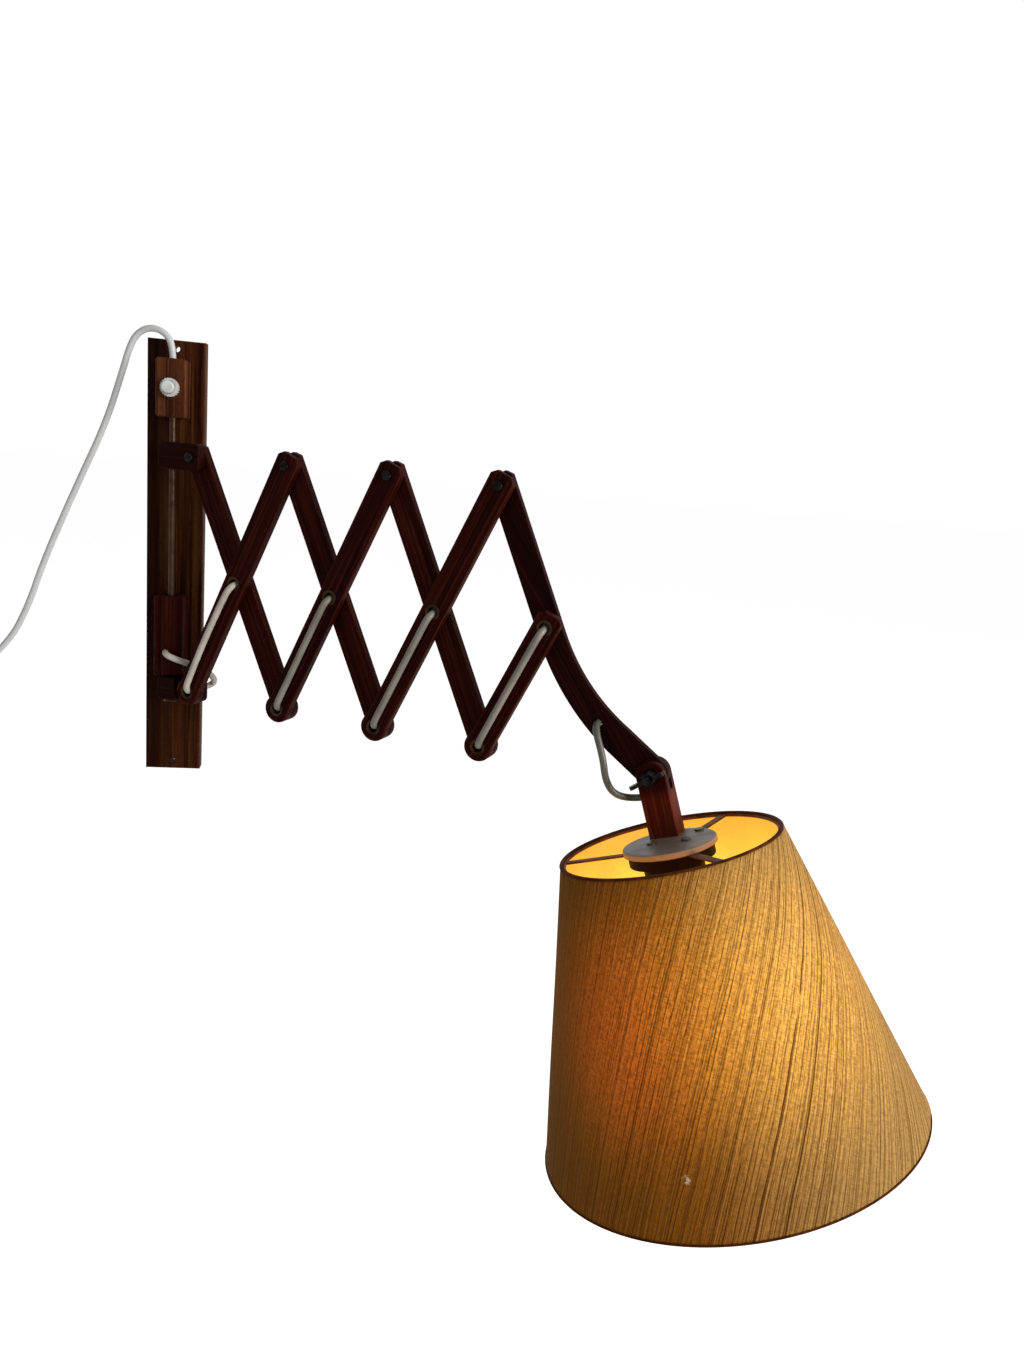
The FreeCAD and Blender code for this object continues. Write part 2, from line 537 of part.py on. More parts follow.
def curved_arm():
    """The last back bar: straight through its crossing, then one wide bend out to the head's bolt."""
    half, end_half, bevel = S.bar_width / 2, S.arm_end_width / 2, S.bar_chamfer
    side, end_side = V(-down_way.y, down_way.x, 0), V(-end_way.y, end_way.x, 0)
    top = high_pivot(3) - down_way * S.bar_top_end
    tangent = S.arm_bend_r * math.tan(math.radians(S.arm_turn / 2))
    start = bend_corner - down_way * tangent
    stop = bend_corner + end_way * tangent
    tip = math.degrees(math.asin(end_half / S.arm_tip_r))
    tip_start, tip_stop = end_angle - tip, end_angle + tip

    def through(a, b, way):
        """The bend's arc from a to b, leaving a along way."""
        chord = b - a
        along = V(way).normalize()
        bulge = chord.Length / 2 * math.tan(along.getAngle(chord) / 2)
        normal = chord.cross(V(0, 0, 1)).normalize()
        return Part.Arc(a, (a + b) * 0.5 + normal * bulge, b)

    low_a, low_b = start - side * half, stop - end_side * end_half
    up_a, up_b = start + side * half, stop + end_side * end_half
    low_tip, up_tip = (head_pivot + V(math.cos(math.radians(a)), math.sin(math.radians(a)), 0) * S.arm_tip_r
                       for a in (tip_start, tip_stop))
    outline = [
        Part.LineSegment(top - side * (half - bevel), top - side * half + down_way * bevel),
        Part.LineSegment(top - side * half + down_way * bevel, low_a),
        through(low_a, low_b, down_way),
        Part.LineSegment(low_b, low_tip),
        arc_edge(head_pivot, S.arm_tip_r, tip_start, tip_stop),
        Part.LineSegment(up_tip, up_b),
        through(up_a, up_b, down_way),
        Part.LineSegment(up_a, top + side * half + down_way * bevel),
        Part.LineSegment(top + side * half + down_way * bevel, top + side * (half - bevel)),
        Part.LineSegment(top + side * (half - bevel), top - side * (half - bevel)),
    ]
    blank = padded("curved_arm_blank", outline, "bar_thick", "bar_ease")
    cord_hole = head_pivot - end_way * S.arm_cord_hole_back
    holes = []
    for i, (spot, radius) in enumerate(((high_pivot(3), SCREW_HOLE), (crossing(3), TUBE_HOLE),
                                        (head_pivot, "bolt_r + run_gap"), (cord_hole, "arm_cord_hole_r"))):
        holes.append(cylinder("arm_hole_%d" % i, radius, "bar_thick * 3",
                              ("%.6f" % spot.x, "%.6f" % spot.y, "-bar_thick * 1.5")))
    piece(cut("curved_arm_cut", blank, *holes), "curved_arm", in_arm(V(), 0, -layer_mid))


# ---- head -----------------------------------------------------------------------------------------


def head_block():
    """Square teak block with a round top, slotted for the arm's end, bored for bolt and cord."""
    half, foot = S.head_width / 2, -S.head_below - S.head_spare
    outline = [Part.LineSegment(V(-half, foot, 0), V(half, foot, 0)),
               Part.LineSegment(V(half, foot, 0), V(half, 0, 0)), arc_edge(V(), half, 0, 180),
               Part.LineSegment(V(-half, 0, 0), V(-half, foot, 0))]
    blank = padded("head_blank", outline, "head_width", "head_ease")
    slot = box("head_slot", ("-head_width", "-slot_below", "-bar_thick / 2 - slot_gap"),
               ("head_width * 2", "head_width + slot_below", "bar_thick + slot_gap * 2"))
    bolt = cylinder("head_bolt_hole", "bolt_r + run_gap", "head_width * 3", ("0", "0", "-head_width * 1.5"))
    entry = cylinder("head_cord_entry", "head_entry_r", "head_width + head_drop_x",
                     ("-head_width", "-head_cord_below", "0"), "x")
    drop = cylinder("head_cord_drop", "head_drop_r", "head_below * 2 - head_cord_below + head_entry_r + cord_gap",
                    ("head_drop_x", "-head_below * 2", "0"), "y")
    # the foot is cut at the lean of the disc that it stands on
    under = bind(doc.addObject("Part::Box", "head_foot_cut"),
                 Length="head_width * 4", Width="head_below", Height="head_below * 2")
    under.Placement = Place(V(0, -S.head_below, S.disc_out), Turn(V(1, 0, 0), -S.shade_lean)).multiply(
        Place(V(-2 * S.head_width, -S.head_below, -S.head_below), Turn()))
    piece(cut("head_made", blank, slot, bolt, entry, drop, under), "head_block",
          HEAD.multiply(Place(V(0, 0, -layer_mid), Turn())))


def head_bolt():
    """A carriage bolt from behind, through block and arm, to the wing nut in front."""
    back = "(layer_gap / 2 + bar_thick / 2 + head_width / 2)"
    head = cylinder("bolt_head", "bolt_head_r", "bolt_head_thick", ("0", "0", "-%s - bolt_head_thick" % back))
    inner_rim = -S.head_width / 2 - layer_mid
    domed = eased("bolt_dome", head, S.bolt_head_ease, lambda e: e.CenterOfMass.z < inner_rim - 1)
    shank = cylinder("bolt_shank", "bolt_r", back + " + bolt_front", ("0", "0", "-" + back))
    piece(fuse("bolt_made", domed, shank), "head_bolt", HEAD)


def wing_nut():
    """A tapered hub with two flat wings that widen to round ears."""
    face = S.head_width / 2 - layer_mid + S.run_gap
    hub = cone("wing_hub", "wing_hub_r", "wing_hub_top_r", "wing_hub_long", ("0", "0", "0"))
    wings = []
    for name, way in (("right", 1), ("left", -1)):
        out = way * (S.wing_span / 2 - S.wing_ear_r)
        corners = [V(0, 0, S.wing_foot), V(out, 0, S.wing_ear_rise - S.wing_ear_r),
                   V(out, 0, S.wing_ear_rise + S.wing_ear_r), V(0, 0, S.wing_hub_long)]
        blade = Part.Face(Part.makePolygon(corners + corners[:1])).extrude(V(0, S.wing_thick, 0))
        blade.translate(V(0, -S.wing_thick / 2, 0))
        wing = doc.addObject("Part::Feature", "wing_blade_" + name)
        wing.Shape = blade
        ear = cylinder("wing_ear_" + name, "wing_ear_r", "wing_thick",
                       ("%d * (wing_span / 2 - wing_ear_r)" % way, "-wing_thick / 2", "wing_ear_rise"), "y")
        wings += [wing, ear]
    bore = cylinder("wing_bore", "bolt_r + run_gap", "wing_hub_long * 3", ("0", "0", "-wing_hub_long"))
    made = cut("wing_made", fuse("wing_solid", hub, *wings), bore)
    piece(made, "wing_nut", HEAD.multiply(Place(V(0, 0, face), Turn(V(0, 0, 1), S.wing_angle))))


# the two holder screws in front of the block, and a third beside it, in the shade frame
DISC_SCREWS = (("-disc_screw_x", "disc_screw_y"), ("disc_screw_x", "disc_screw_y"), ("side_screw_x", "side_screw_y"))
DISC_LOW = "(-disc_thick)"
CUP_TOP = "(-disc_thick - spider_thick)"
CUP_LOW = "(-disc_thick - spider_thick - cup_thick)"


def disc_drillings(name):
    """Holes for the three screws, through the disc and all that hangs under it."""
    return [cylinder("%s_screw_hole_%d" % (name, i), "disc_screw_r + run_gap", "-2 * " + CUP_LOW, (x, y, CUP_LOW))
            for i, (x, y) in enumerate(DISC_SCREWS)]


def cover_disc():
    """White cover disc on the block's foot, the dark cup under it, and the screws that join them."""
    disc = cylinder("disc_blank", "disc_r", "disc_thick", ("0", "0", DISC_LOW))
    rounded = eased("disc_eased", disc, S.disc_ease, lambda e: e.CenterOfMass.z > -S.disc_thick / 2)
    cord = cylinder("disc_cord_hole", "disc_cord_hole_r", "disc_thick * 3",
                    ("head_drop_x - disc_x", "disc_out", "-disc_thick * 2"))
    piece(cut("disc_made", rounded, cord, *disc_drillings("disc")), "cover_disc", SHADE)
    cup = cylinder("cup_blank", "cup_r", "cup_thick", ("0", "0", CUP_LOW))
    hollow = cylinder("cup_hollow", "cup_r - cup_wall", "cup_thick", ("0", "0", CUP_LOW + " + cup_wall"))
    neck = cylinder("cup_neck", "cup_neck_r", "cup_thick * 2", ("0", "0", CUP_LOW + " - cup_wall"))
    piece(cut("cup_made", cup, hollow, neck, *disc_drillings("cup")), "holder_cup", SHADE)
    screws = []
    for i, (x, y) in enumerate(DISC_SCREWS):
        shank = cylinder("disc_screw_shank_%d" % i, "disc_screw_r", "-" + CUP_LOW, (x, y, CUP_LOW))
        head = cylinder("disc_screw_head_%d" % i, "disc_screw_head_r", "disc_screw_head_thick", (x, y, "0"))
        screws.append(fuse("disc_screw_%d" % i, shank, head))
    piece(group("disc_screw_set", *screws), "disc_screws", SHADE)


def lamp_holder():
    """Screw lampholder under the cup: an open shell with a solid base."""
    shell = cylinder("holder_shell", "holder_r", "holder_long", ("0", "0", CUP_LOW + " - holder_long"))
    bore = cylinder("holder_bore", "holder_r - holder_wall", "holder_long - holder_base",
                    ("0", "0", CUP_LOW + " - holder_long"))
    wire = cylinder("holder_wire_hole", "cord_r + cord_gap", "holder_base * 2",
                    ("0", "0", CUP_LOW + " - holder_base"))
    piece(cut("holder_made", shell, bore, wire, *disc_drillings("holder")), "lamp_holder", SHADE)


def bulb_form(inset, top):
    """The bulb's outside, or its inside at inset, turned from one profile: cap, neck and globe."""
    seat = -S.disc_thick - S.spider_thick - S.cup_thick - S.bulb_seat
    radius, neck_r = S.bulb_r - inset, S.bulb_neck_r - inset
    neck = V(neck_r, 0, seat - S.bulb_cap_long)
    globe = V(0, 0, seat - S.bulb_long + S.bulb_r)
    reach = neck - globe
    touch = math.atan2(reach.z, reach.x) - math.acos(radius / reach.Length)
    side, waist = (globe + V(math.cos(a), 0, math.sin(a)) * radius for a in (touch, (touch - math.pi / 2) / 2))
    low, start = globe - V(0, 0, radius), V(neck_r, 0, seat + top)
    profile = Part.Wire([
        Part.makeLine(V(0, 0, seat + top), start), Part.makeLine(start, neck), Part.makeLine(neck, side),
        Part.Arc(side, waist, low).toShape(), Part.makeLine(low, V(0, 0, seat + top)),
    ])
    return Part.Face(profile).revolve(V(), V(0, 0, 1), 360)


def bulb():
    """A thin-walled bulb, open where its cap meets the holder's contacts."""
    shape_piece("bulb", bulb_form(0, 0).cut(bulb_form(S.bulb_wall, 1)), SHADE)


# ---- shade ----------------------------------------------------------------------------------------


def skin(label, outer, thick):
    """One skin of the shade: a thin cone set in from the outside by outer."""
    low = ("0", "0", "-shade_drop - shade_height")
    solid = cone(label + "_solid", "shade_bottom_r - %s" % outer, "shade_top_r - %s" % outer, "shade_height", low)
    hollow = cone(label + "_hollow", "shade_bottom_r - %s - %s" % (outer, thick),
                  "shade_top_r - %s - %s" % (outer, thick), "shade_height", low)
    piece(cut(label + "_cut", solid, hollow), label, SHADE)


def shade():
    """Fabric skin, inner lining, a wire ring at each rim, rim tapes and the spider that carries it."""
    skin("shade_cover", "0", "cover_thick")
    skin("shade_liner", "cover_thick", "liner_thick")
    slope = (S.shade_bottom_r - S.shade_top_r) / S.shade_height
    inner = S.cover_thick + S.liner_thick + S.ring_wire_r + S.ring_gap
    top_z = -S.shade_drop - S.ring_inset
    low_z = -S.shade_drop - S.shade_height + S.ring_inset
    rings = []
    for name, height in (("top", top_z), ("bottom", low_z)):
        ring = bind(doc.addObject("Part::Torus", name + "_ring"), Radius2="ring_wire_r")
        ring.Radius1 = S.shade_top_r - inner + slope * (-S.shade_drop - height)
        ring.Placement = Place(V(0, 0, height), Turn())
        rings.append(ring)
    piece(group("ring_set", *rings), "shade_rings", SHADE)
    trims = []
    for name, low in (("top", -S.shade_drop - S.trim_tall), ("bottom", -S.shade_drop - S.shade_height)):
        low_r = S.shade_top_r + slope * (-S.shade_drop - low)
        high_r = low_r - slope * S.trim_tall
        sides = []
        for side, extra in (("outside", S.trim_thick + S.trim_gap), ("inside", S.trim_gap)):
            tape = bind(doc.addObject("Part::Cone", "%s_trim_%s" % (name, side)), Height="trim_tall")
            tape.Radius1, tape.Radius2 = low_r + extra, high_r + extra
            tape.Placement = Place(V(0, 0, low), Turn())
            sides.append(tape)
        trims.append(cut(name + "_trim_tape", *sides))
    piece(group("trim_set", *trims), "shade_trims", SHADE)
    spider(top_z, rings[0].Radius1.Value - S.ring_wire_r)


def spider(rim_z, rim_r):
    """A flat ring clamped between disc and cup, with three strips out to the shade's top ring."""
    ring = cylinder("spider_ring", "spider_ring_r", "spider_thick", ("0", "0", CUP_TOP))
    hole = cylinder("spider_hole", "spider_ring_in", "spider_thick * 2", ("0", "0", CUP_TOP + " - spider_thick / 2"))
    low = -S.disc_thick - S.spider_thick
    half = S.spider_width / 2
    start, bend = V(S.spider_ring_in + S.spoke_root, 0, low), V(S.disc_r, 0, low)
    end = V(math.sqrt(rim_r ** 2 - half ** 2) - S.spider_gap, 0, rim_z - S.spider_thick / 2)
    lift = V(0, 0, S.spider_thick)
    strips = []
    for i in range(3):
        side = Part.Face(Part.makePolygon([start, bend, end, end + lift, bend + lift, start + lift, start]))
        strip = side.extrude(V(0, S.spider_width, 0))
        strip.translate(V(0, -half, 0))
        strip.rotate(V(), V(0, 0, 1), S.spoke_turn + 120 * i)
        arm = doc.addObject("Part::Feature", "spider_strip_%d" % i)
        arm.Shape = strip
        strips.append(arm)
    piece(cut("spider_made", fuse("spider_solid", ring, *strips), hole, *disc_drillings("spider")), "shade_spider", SHADE)


# ---- cords ----------------------------------------------------------------------------------------


def run_path(points):
    """Straight runs joined by tangent arcs as large as the runs allow; also gives length and radii."""
    edges, radii, length = [], [], 0
    at = points[0]
    for before, corner, after in zip(points, points[1:], points[2:]):
        way_in, way_out = (corner - before).normalize(), (after - corner).normalize()
        turn = way_in.getAngle(way_out)
        reach = 0.45 * min((corner - before).Length, (after - corner).Length)
        radius = reach / math.tan(turn / 2)
        start, stop = corner - way_in * reach, corner + way_out * reach
        inward = (way_out - way_in).normalize()
        middle = corner + inward * (radius / math.cos(turn / 2) - radius)
        edges += [Part.LineSegment(at, start).toShape(), Part.Arc(start, middle, stop).toShape()]
        length += (start - at).Length + radius * turn
        radii.append(radius)
        at = stop
    edges.append(Part.LineSegment(at, points[-1]).toShape())
    return Part.Wire(edges), length + (points[-1] - at).Length, radii


def tube(wire, radius):
    """A solid round tube along a wire."""
    start = wire.Edges[0]
    way = start.tangentAt(start.FirstParameter)
    ring = Part.Wire([Part.makeCircle(radius, start.valueAt(start.FirstParameter), way)])
    shell = Part.BRepOffsetAPI.MakePipeShell(wire)
    shell.add(ring)
    shell.build()
    shell.makeSolid()
    return shell.shape()


def cord_shape(name, points):
    wire, length, radii = run_path([V(*p) for p in points])
    solid = tube(wire, S.cord_r)
    wanted = math.pi * S.cord_r ** 2 * length
    print("%s length %.1f radii %s volume ratio %.4f" % (
        name, length, " ".join("%.1f" % r for r in radii), solid.Volume / wanted))
    return solid


def cord(label, points, place=Place()):
    shape_piece(label, cord_shape(label, points), place)


cord_out = bar_face + S.cord_rise


def cord_on_bar(label, point, angle, side, bow):
    """From a hollow pivot's middle out over a bar's outer face and into the next hollow pivot."""
    far = S.bar_half
    steps = ((0, 0), (0.19, 0.7), (0.5, 1), (0.81, 0.7), (1, 0))
    points = [(0, 0, 0)] + [(far * a, bow * b, side * cord_out) for a, b in steps] + [(far, 0, 0)]
    cord(label, points, in_arm(point, angle))


def arm_cord():
    """From the last crossing behind the curved arm to its cord hole, in arm coordinates."""
    start, back = crossing(3), -cord_out
    hole = head_pivot - end_way * S.arm_cord_hole_back
    points = [(start.x, start.y, 0), (start.x, start.y, back), (start.x + 5, start.y - 15, back),
              (start.x + 19, start.y - 39, back), (hole.x, hole.y, back), (hole.x, hole.y, -layer)]
    cord("cord_arm", points, ARM)


def head_to_arm(x, y, z=-layer_mid):
    """A point of the head frame in arm coordinates."""
    return tuple(ARM.inverse().multiply(HEAD).multVec(V(x, y, z)))


def cord_loop():
    """The free loop from the curved arm's hole, hanging in front, into the head block's left side."""
    hole = head_pivot - end_way * S.arm_cord_hole_back
    hanging = [(0, 0, 8), (8.7, -19.3, 11), (11.5, -34.3, 9.5), (17.5, -43.5, 5.5)]
    points = [(hole.x, hole.y, -layer)] + [tuple(hole + V(*step)) for step in hanging] + [
              head_to_arm(-S.head_width / 2 - 7, -S.head_cord_below),
              head_to_arm(-S.head_width / 2 + S.head_lead_in, -S.head_cord_below)]
    cord("cord_loop", points, ARM)


def head_lead():
    """The lead inside the block: down its bore, through the disc, and across the cup to the holder."""
    into_head = HEAD.inverse().multiply(SHADE)
    below = into_head.multVec(V(S.head_drop_x - S.disc_x, S.disc_out, -S.lead_run_depth))
    over_holder = into_head.multVec(V(0, 0, -S.lead_run_depth))
    in_holder = into_head.multVec(V(0, 0, -S.lead_run_depth - S.lead_tail))
    points = [(-S.head_width / 2 + S.head_lead_in, -S.head_cord_below, -layer_mid),
              (S.head_drop_x, -S.head_cord_below, -layer_mid), (S.head_drop_x, below.y, -layer_mid),
              tuple(over_holder), tuple(in_holder)]
    cord("head_lead", points, HEAD)


def from_row(x, y, z):
    """A point of the row frame in arm coordinates."""
    return tuple(ARM.inverse().multVec(V(x, y, z)))


def feed_cord():
    """From the lower block's front, behind the first bar and over the swivel's tongue, into its pivot."""
    exit_z = S.lower_block_top - S.lead_exit_drop
    front = -S.plate_thick - S.block_depth
    pivot = low_pivot(0)
    over_tongue = [(-10, 23.7, 8), (-1.5, 17.9, -4.5), (6.2, 11.7, -12.5), (9.7, 2.5, -18), (0, 0, -17.5)]
    points = [from_row(S.lead_x, front + S.lead_exit_depth, exit_z), from_row(S.lead_x, front - 4.5, exit_z)]
    points += [tuple(pivot + V(*step)) for step in over_tongue] + [tuple(pivot)]
    cord("cord_feed", points, ARM)


def hidden_leads():
    """Leads out of sight: block top to switch, along the board's groove, and out through the lower block."""
    cord_y = -S.plate_thick - S.block_depth / 2
    block_top = S.plate_height / 2 - S.switch_block_drop
    switch_z = block_top - S.switch_block_height / 2
    top = Part.makeCylinder(S.cord_r, block_top - S.lead_exit_depth - switch_z - S.switch_r,
                            V(S.block_shift, cord_y, switch_z + S.switch_r))
    exit_z = S.lower_block_top - S.lead_exit_drop
    groove_y = -S.cord_r - S.cord_gap
    run = cord_shape("groove_lead", [(S.lead_x, -S.plate_thick, switch_z), (S.lead_x, groove_y, switch_z),
                                     (S.lead_x, groove_y, exit_z), (S.lead_x, -S.plate_thick, exit_z)])
    out = Part.makeCylinder(S.cord_r, S.block_depth - S.lead_exit_depth,
                            V(S.lead_x, -S.plate_thick, exit_z), V(0, -1, 0))
    shape_piece("hidden_leads", Part.makeCompound([top, run, out]))


def mains_points():
    """The mains cord's route, chosen by hand: out of the switch block's top, over, and down by the board."""
    block_top = S.plate_height / 2 - S.switch_block_drop
    start = (S.block_shift, -S.plate_thick - S.block_depth / 2)
    return [start + (block_top - S.lead_exit_depth,), start + (block_top + 9.5,), (-6.7, -21.5, 164.7),
            (-16, -19.5, 167.5), (-25.2, -17, 163.8), (-31.3, -15, 155), (-38, -12, 134), (-50, -8, 98),
            (-72, -5, 50), (-95, -3.2, -4), (-107, -2.9, -40), (-121.5, -2.5, -69), (-150, -2.5, -95)]


def spiral(step):
    """The coil's middle line: in on the wall, over, and out on top; step counts half turns from the start."""
    total = S.coil_half_turns
    middle = total / 2
    share = 1 - abs(step - middle) / middle
    radius = S.coil_outer_r + (S.coil_inner_r - S.coil_outer_r) * share
    climb = min(max(step - middle + 0.5, 0), 1)
    height = S.coil_layer * climb * climb * (3 - 2 * climb)
    return V(radius * math.cos(math.pi * step), -height, -radius * math.sin(math.pi * step))


def spiral_way(step):
    small = 1e-4
    low, high = max(step - small, 0), min(step + small, S.coil_half_turns)
    return (spiral(high) - spiral(low)).normalize()


def biarc(a, way_a, b, way_b):
    """Two arcs that join a to b and keep both directions."""
    chord, ways = b - a, way_a + way_b
    bend, along = 2 * (way_a.dot(way_b) - 1), chord.dot(ways)
    reach = (along - math.sqrt(along ** 2 - bend * chord.dot(chord))) / bend
    knee_a, knee_b = a + way_a * reach, b - way_b * reach
    join = (knee_a + knee_b) * 0.5
    edges = []
    for p, q, r in ((a, knee_a, join), (join, knee_b, b)):
        middle = (p + r) * 0.5
        half_turn = (q - p).getAngle(r - q) / 2
        share = math.tan(half_turn / 2) / math.tan(half_turn)
        edges.append(Part.Arc(p, middle + (q - middle) * share, r).toShape())
    return edges


def least_gap(points, skip):
    """Least distance between points at least skip apart in order."""
    return min((a - b).Length for i, a in enumerate(points) for b in points[i + skip:])


def mains_coil():
    """The spare length: a flat coil of two layers, one unbroken tube with straight ends."""
    count = math.ceil(2 * S.coil_half_turns)
    steps = [S.coil_half_turns * i / count for i in range(count + 1)]
    start, way_in = spiral(0), spiral_way(0)
    end, way_out = spiral(S.coil_half_turns), spiral_way(S.coil_half_turns)
    turns = []
    for a, b in zip(steps, steps[1:]):
        turns += biarc(spiral(a), spiral_way(a), spiral(b), spiral_way(b))
    first, last = start - way_in * S.coil_lead_in, end + way_out * S.coil_lead_out
    edges = [Part.makeLine(first, start)] + turns + [Part.makeLine(end, last)]
    points = [point for edge in turns for point in edge.discretize(9)[:-1]]
    length = sum(edge.Length for edge in edges)
    solid = tube(Part.Wire(edges), S.cord_r)
    print("mains_coil length %.1f gap %.2f volume ratio %.4f" % (
        length, least_gap(points, int(len(points) / S.coil_half_turns)) - 2 * S.cord_r,
        solid.Volume / (math.pi * S.cord_r ** 2 * length)))
    # turned in the wall's plane so that the cord's last run leads straight in
    before, at = (V(*point) for point in mains_points()[-2:])
    turn = Turn(way_in, at - before)
    place = Place(at, turn).multiply(Place(V() - first, Turn()))
    shape_piece("mains_coil", solid, place)
    plug(place.multVec(last), turn.multVec(way_out))


def plug(at, way):
    """A flat two-pin plug on the coil's end; its body tapers towards the cord."""
    along = V(way.x, 0, way.z)
    place = Place(at, Turn(along, V(0, -1, 0).cross(along), V(0, -1, 0), "XZY"))
    tail = Part.makeCylinder(S.plug_tail_r, S.plug_nose_at + S.plug_ease, V(), V(1, 0, 0))
    half_w, long, nose, shoulder = S.plug_width / 2, S.plug_long, S.plug_nose_at, S.plug_shoulder_at
    corners = [V(nose, -S.plug_nose / 2, 0), V(shoulder, -half_w, 0), V(long, -half_w, 0),
               V(long, half_w, 0), V(shoulder, half_w, 0), V(nose, S.plug_nose / 2, 0)]
    body = Part.Face(Part.makePolygon(corners + corners[:1])).extrude(V(0, 0, S.plug_thick))
    body.translate(V(0, 0, -S.plug_thick / 2))
    body = body.makeFillet(S.plug_ease, body.Edges)
    shape_piece("plug_body", body.fuse(tail), place)
    pins = [Part.makeCylinder(S.plug_pin_r, S.plug_pin_long, V(long, y, 0), V(1, 0, 0))
            for y in (-S.plug_pin_pitch / 2, S.plug_pin_pitch / 2)]
    shape_piece("plug_pins", Part.makeCompound(pins), place)


# ---- everything, in the order in which it is put together -------------------------------------------

wall_plate()
switch_block()
lower_block()
block_screws()
rod()
push_switch()
slider()
swivel()
pivot_screw("pivot_screw_0", high_pivot(0), "tongue_thick")
hollow_pivot("hollow_pivot_low_0", low_pivot(0), 0, "tongue_thick")
for i in range(3):
    front_bar(i)
    back_bar(i)
    hollow_pivot("hollow_pivot_mid_%d" % i, crossing(i), 0)
    hollow_pivot("hollow_pivot_low_%d" % (i + 1), low_pivot(i + 1), 0)
    pivot_screw("pivot_screw_%d" % (i + 1), high_pivot(i + 1))
    cord_on_bar("cord_front_%d" % i, low_pivot(i), S.bar_angle, 1, S.cord_bow)
    cord_on_bar("cord_back_%d" % i, crossing(i), -S.bar_angle, -1, S.cord_bow / 2)
half_bar()
hollow_pivot("hollow_pivot_mid_3", crossing(3), 0)
cord_on_bar("cord_front_3", low_pivot(3), S.bar_angle, 1, S.cord_bow)
curved_arm()
arm_cord()
head_block()
head_bolt()
wing_nut()
cord_loop()
head_lead()
cover_disc()
lamp_holder()
bulb()
shade()
hidden_leads()
feed_cord()
cord("mains_cord", mains_points())
mains_coil()

doc.recompute()
for obj in doc.Objects:
    if "Invalid" in obj.State or "Error" in obj.State:
        raise RuntimeError("%s: %s" % (obj.Name, obj.State))
os.makedirs("parts", exist_ok=True)
for obj, label in PIECES:
    shape = obj.Shape
    if shape.isNull() or not shape.isValid() or not shape.Solids:
        raise RuntimeError("%s has no valid solid" % label)
    shape.exportStep("parts/%s.step" % label)
print("%d pieces, %d solids" % (len(PIECES), sum(len(obj.Shape.Solids) for obj, _ in PIECES)))
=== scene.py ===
import math

import bmesh
import bpy
import numpy as np
from mathutils import Matrix, Vector


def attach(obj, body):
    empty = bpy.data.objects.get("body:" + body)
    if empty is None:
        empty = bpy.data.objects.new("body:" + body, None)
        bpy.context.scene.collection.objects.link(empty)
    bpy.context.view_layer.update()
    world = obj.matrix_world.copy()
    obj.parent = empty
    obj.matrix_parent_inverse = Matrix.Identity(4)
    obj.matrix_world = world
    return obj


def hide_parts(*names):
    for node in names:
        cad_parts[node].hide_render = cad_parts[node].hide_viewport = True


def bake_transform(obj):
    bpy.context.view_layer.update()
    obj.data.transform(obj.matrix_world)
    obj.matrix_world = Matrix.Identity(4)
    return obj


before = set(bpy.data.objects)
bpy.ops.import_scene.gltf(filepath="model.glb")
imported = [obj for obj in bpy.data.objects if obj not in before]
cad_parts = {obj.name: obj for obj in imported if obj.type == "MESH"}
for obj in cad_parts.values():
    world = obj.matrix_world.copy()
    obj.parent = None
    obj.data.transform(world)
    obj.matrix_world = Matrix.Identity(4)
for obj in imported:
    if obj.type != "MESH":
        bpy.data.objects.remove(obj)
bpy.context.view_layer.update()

# ---- Camera, lamps and floor ------------------------------------------------------------------------
# The lamp is seen from the room, from the right of the board and a little above, with a wide lens.
# One large soft lamp stands at the right, as a window would, and pale walls give an even fill.
PHOTO_WIDTH = 1024
FOCAL_PIXELS = 986
SENSOR_WIDTH = 36.0
EYE = Vector((0.128493, -0.786383, 0.092245))
EYE_TURN, EYE_DOWN, EYE_ROLL = (math.radians(a) for a in (-9.982, 12.292, 4.862))
FLOOR_HEIGHT, FLOOR_HALF = -0.9, 40


def eye_matrix(turn, down, roll):
    """Columns right, up and back: the level view turned about the upright, tipped down, then rolled."""
    level_right = Vector((math.cos(turn), math.sin(turn), 0))
    level_ahead = Vector((-math.sin(turn), math.cos(turn), 0))
    upright = Vector((0, 0, 1))
    ahead = level_ahead * math.cos(down) - upright * math.sin(down)
    over = upright * math.cos(down) + level_ahead * math.sin(down)
    right = level_right * math.cos(roll) + over * math.sin(roll)
    up = over * math.cos(roll) - level_right * math.sin(roll)
    return Matrix((right, up, -ahead)).transposed()


camera = bpy.data.objects.new("camera", bpy.data.cameras.new("camera"))
bpy.context.scene.collection.objects.link(camera)
camera.data.sensor_fit = "HORIZONTAL"
camera.data.sensor_width = SENSOR_WIDTH
camera.data.lens = SENSOR_WIDTH * FOCAL_PIXELS / PHOTO_WIDTH
camera.data.clip_start, camera.data.clip_end = 0.01, 100
camera.matrix_world = Matrix.Translation(EYE) @ eye_matrix(EYE_TURN, EYE_DOWN, EYE_ROLL).to_4x4()
bpy.context.scene.camera = camera
bpy.context.scene.view_settings.view_transform = "Standard"


def soft_lamp(name, toward, distance, size, level):
    """A square lamp facing the origin from a direction; level 1 shows a facing colour as it is written."""
    lamp = bpy.data.objects.new(name, bpy.data.lights.new(name, "AREA"))
    lamp.data.size = size
    lamp.data.energy = level * (math.pi * distance) ** 2
    way = Vector(toward).normalized()
    lamp.matrix_world = Matrix.Translation(way * distance) @ way.to_track_quat("Z", "Y").to_matrix().to_4x4()
    bpy.context.scene.collection.objects.link(lamp)


soft_lamp("window_lamp", (0.80, -0.58, 0.18), 3.0, 1.4, 0.95)


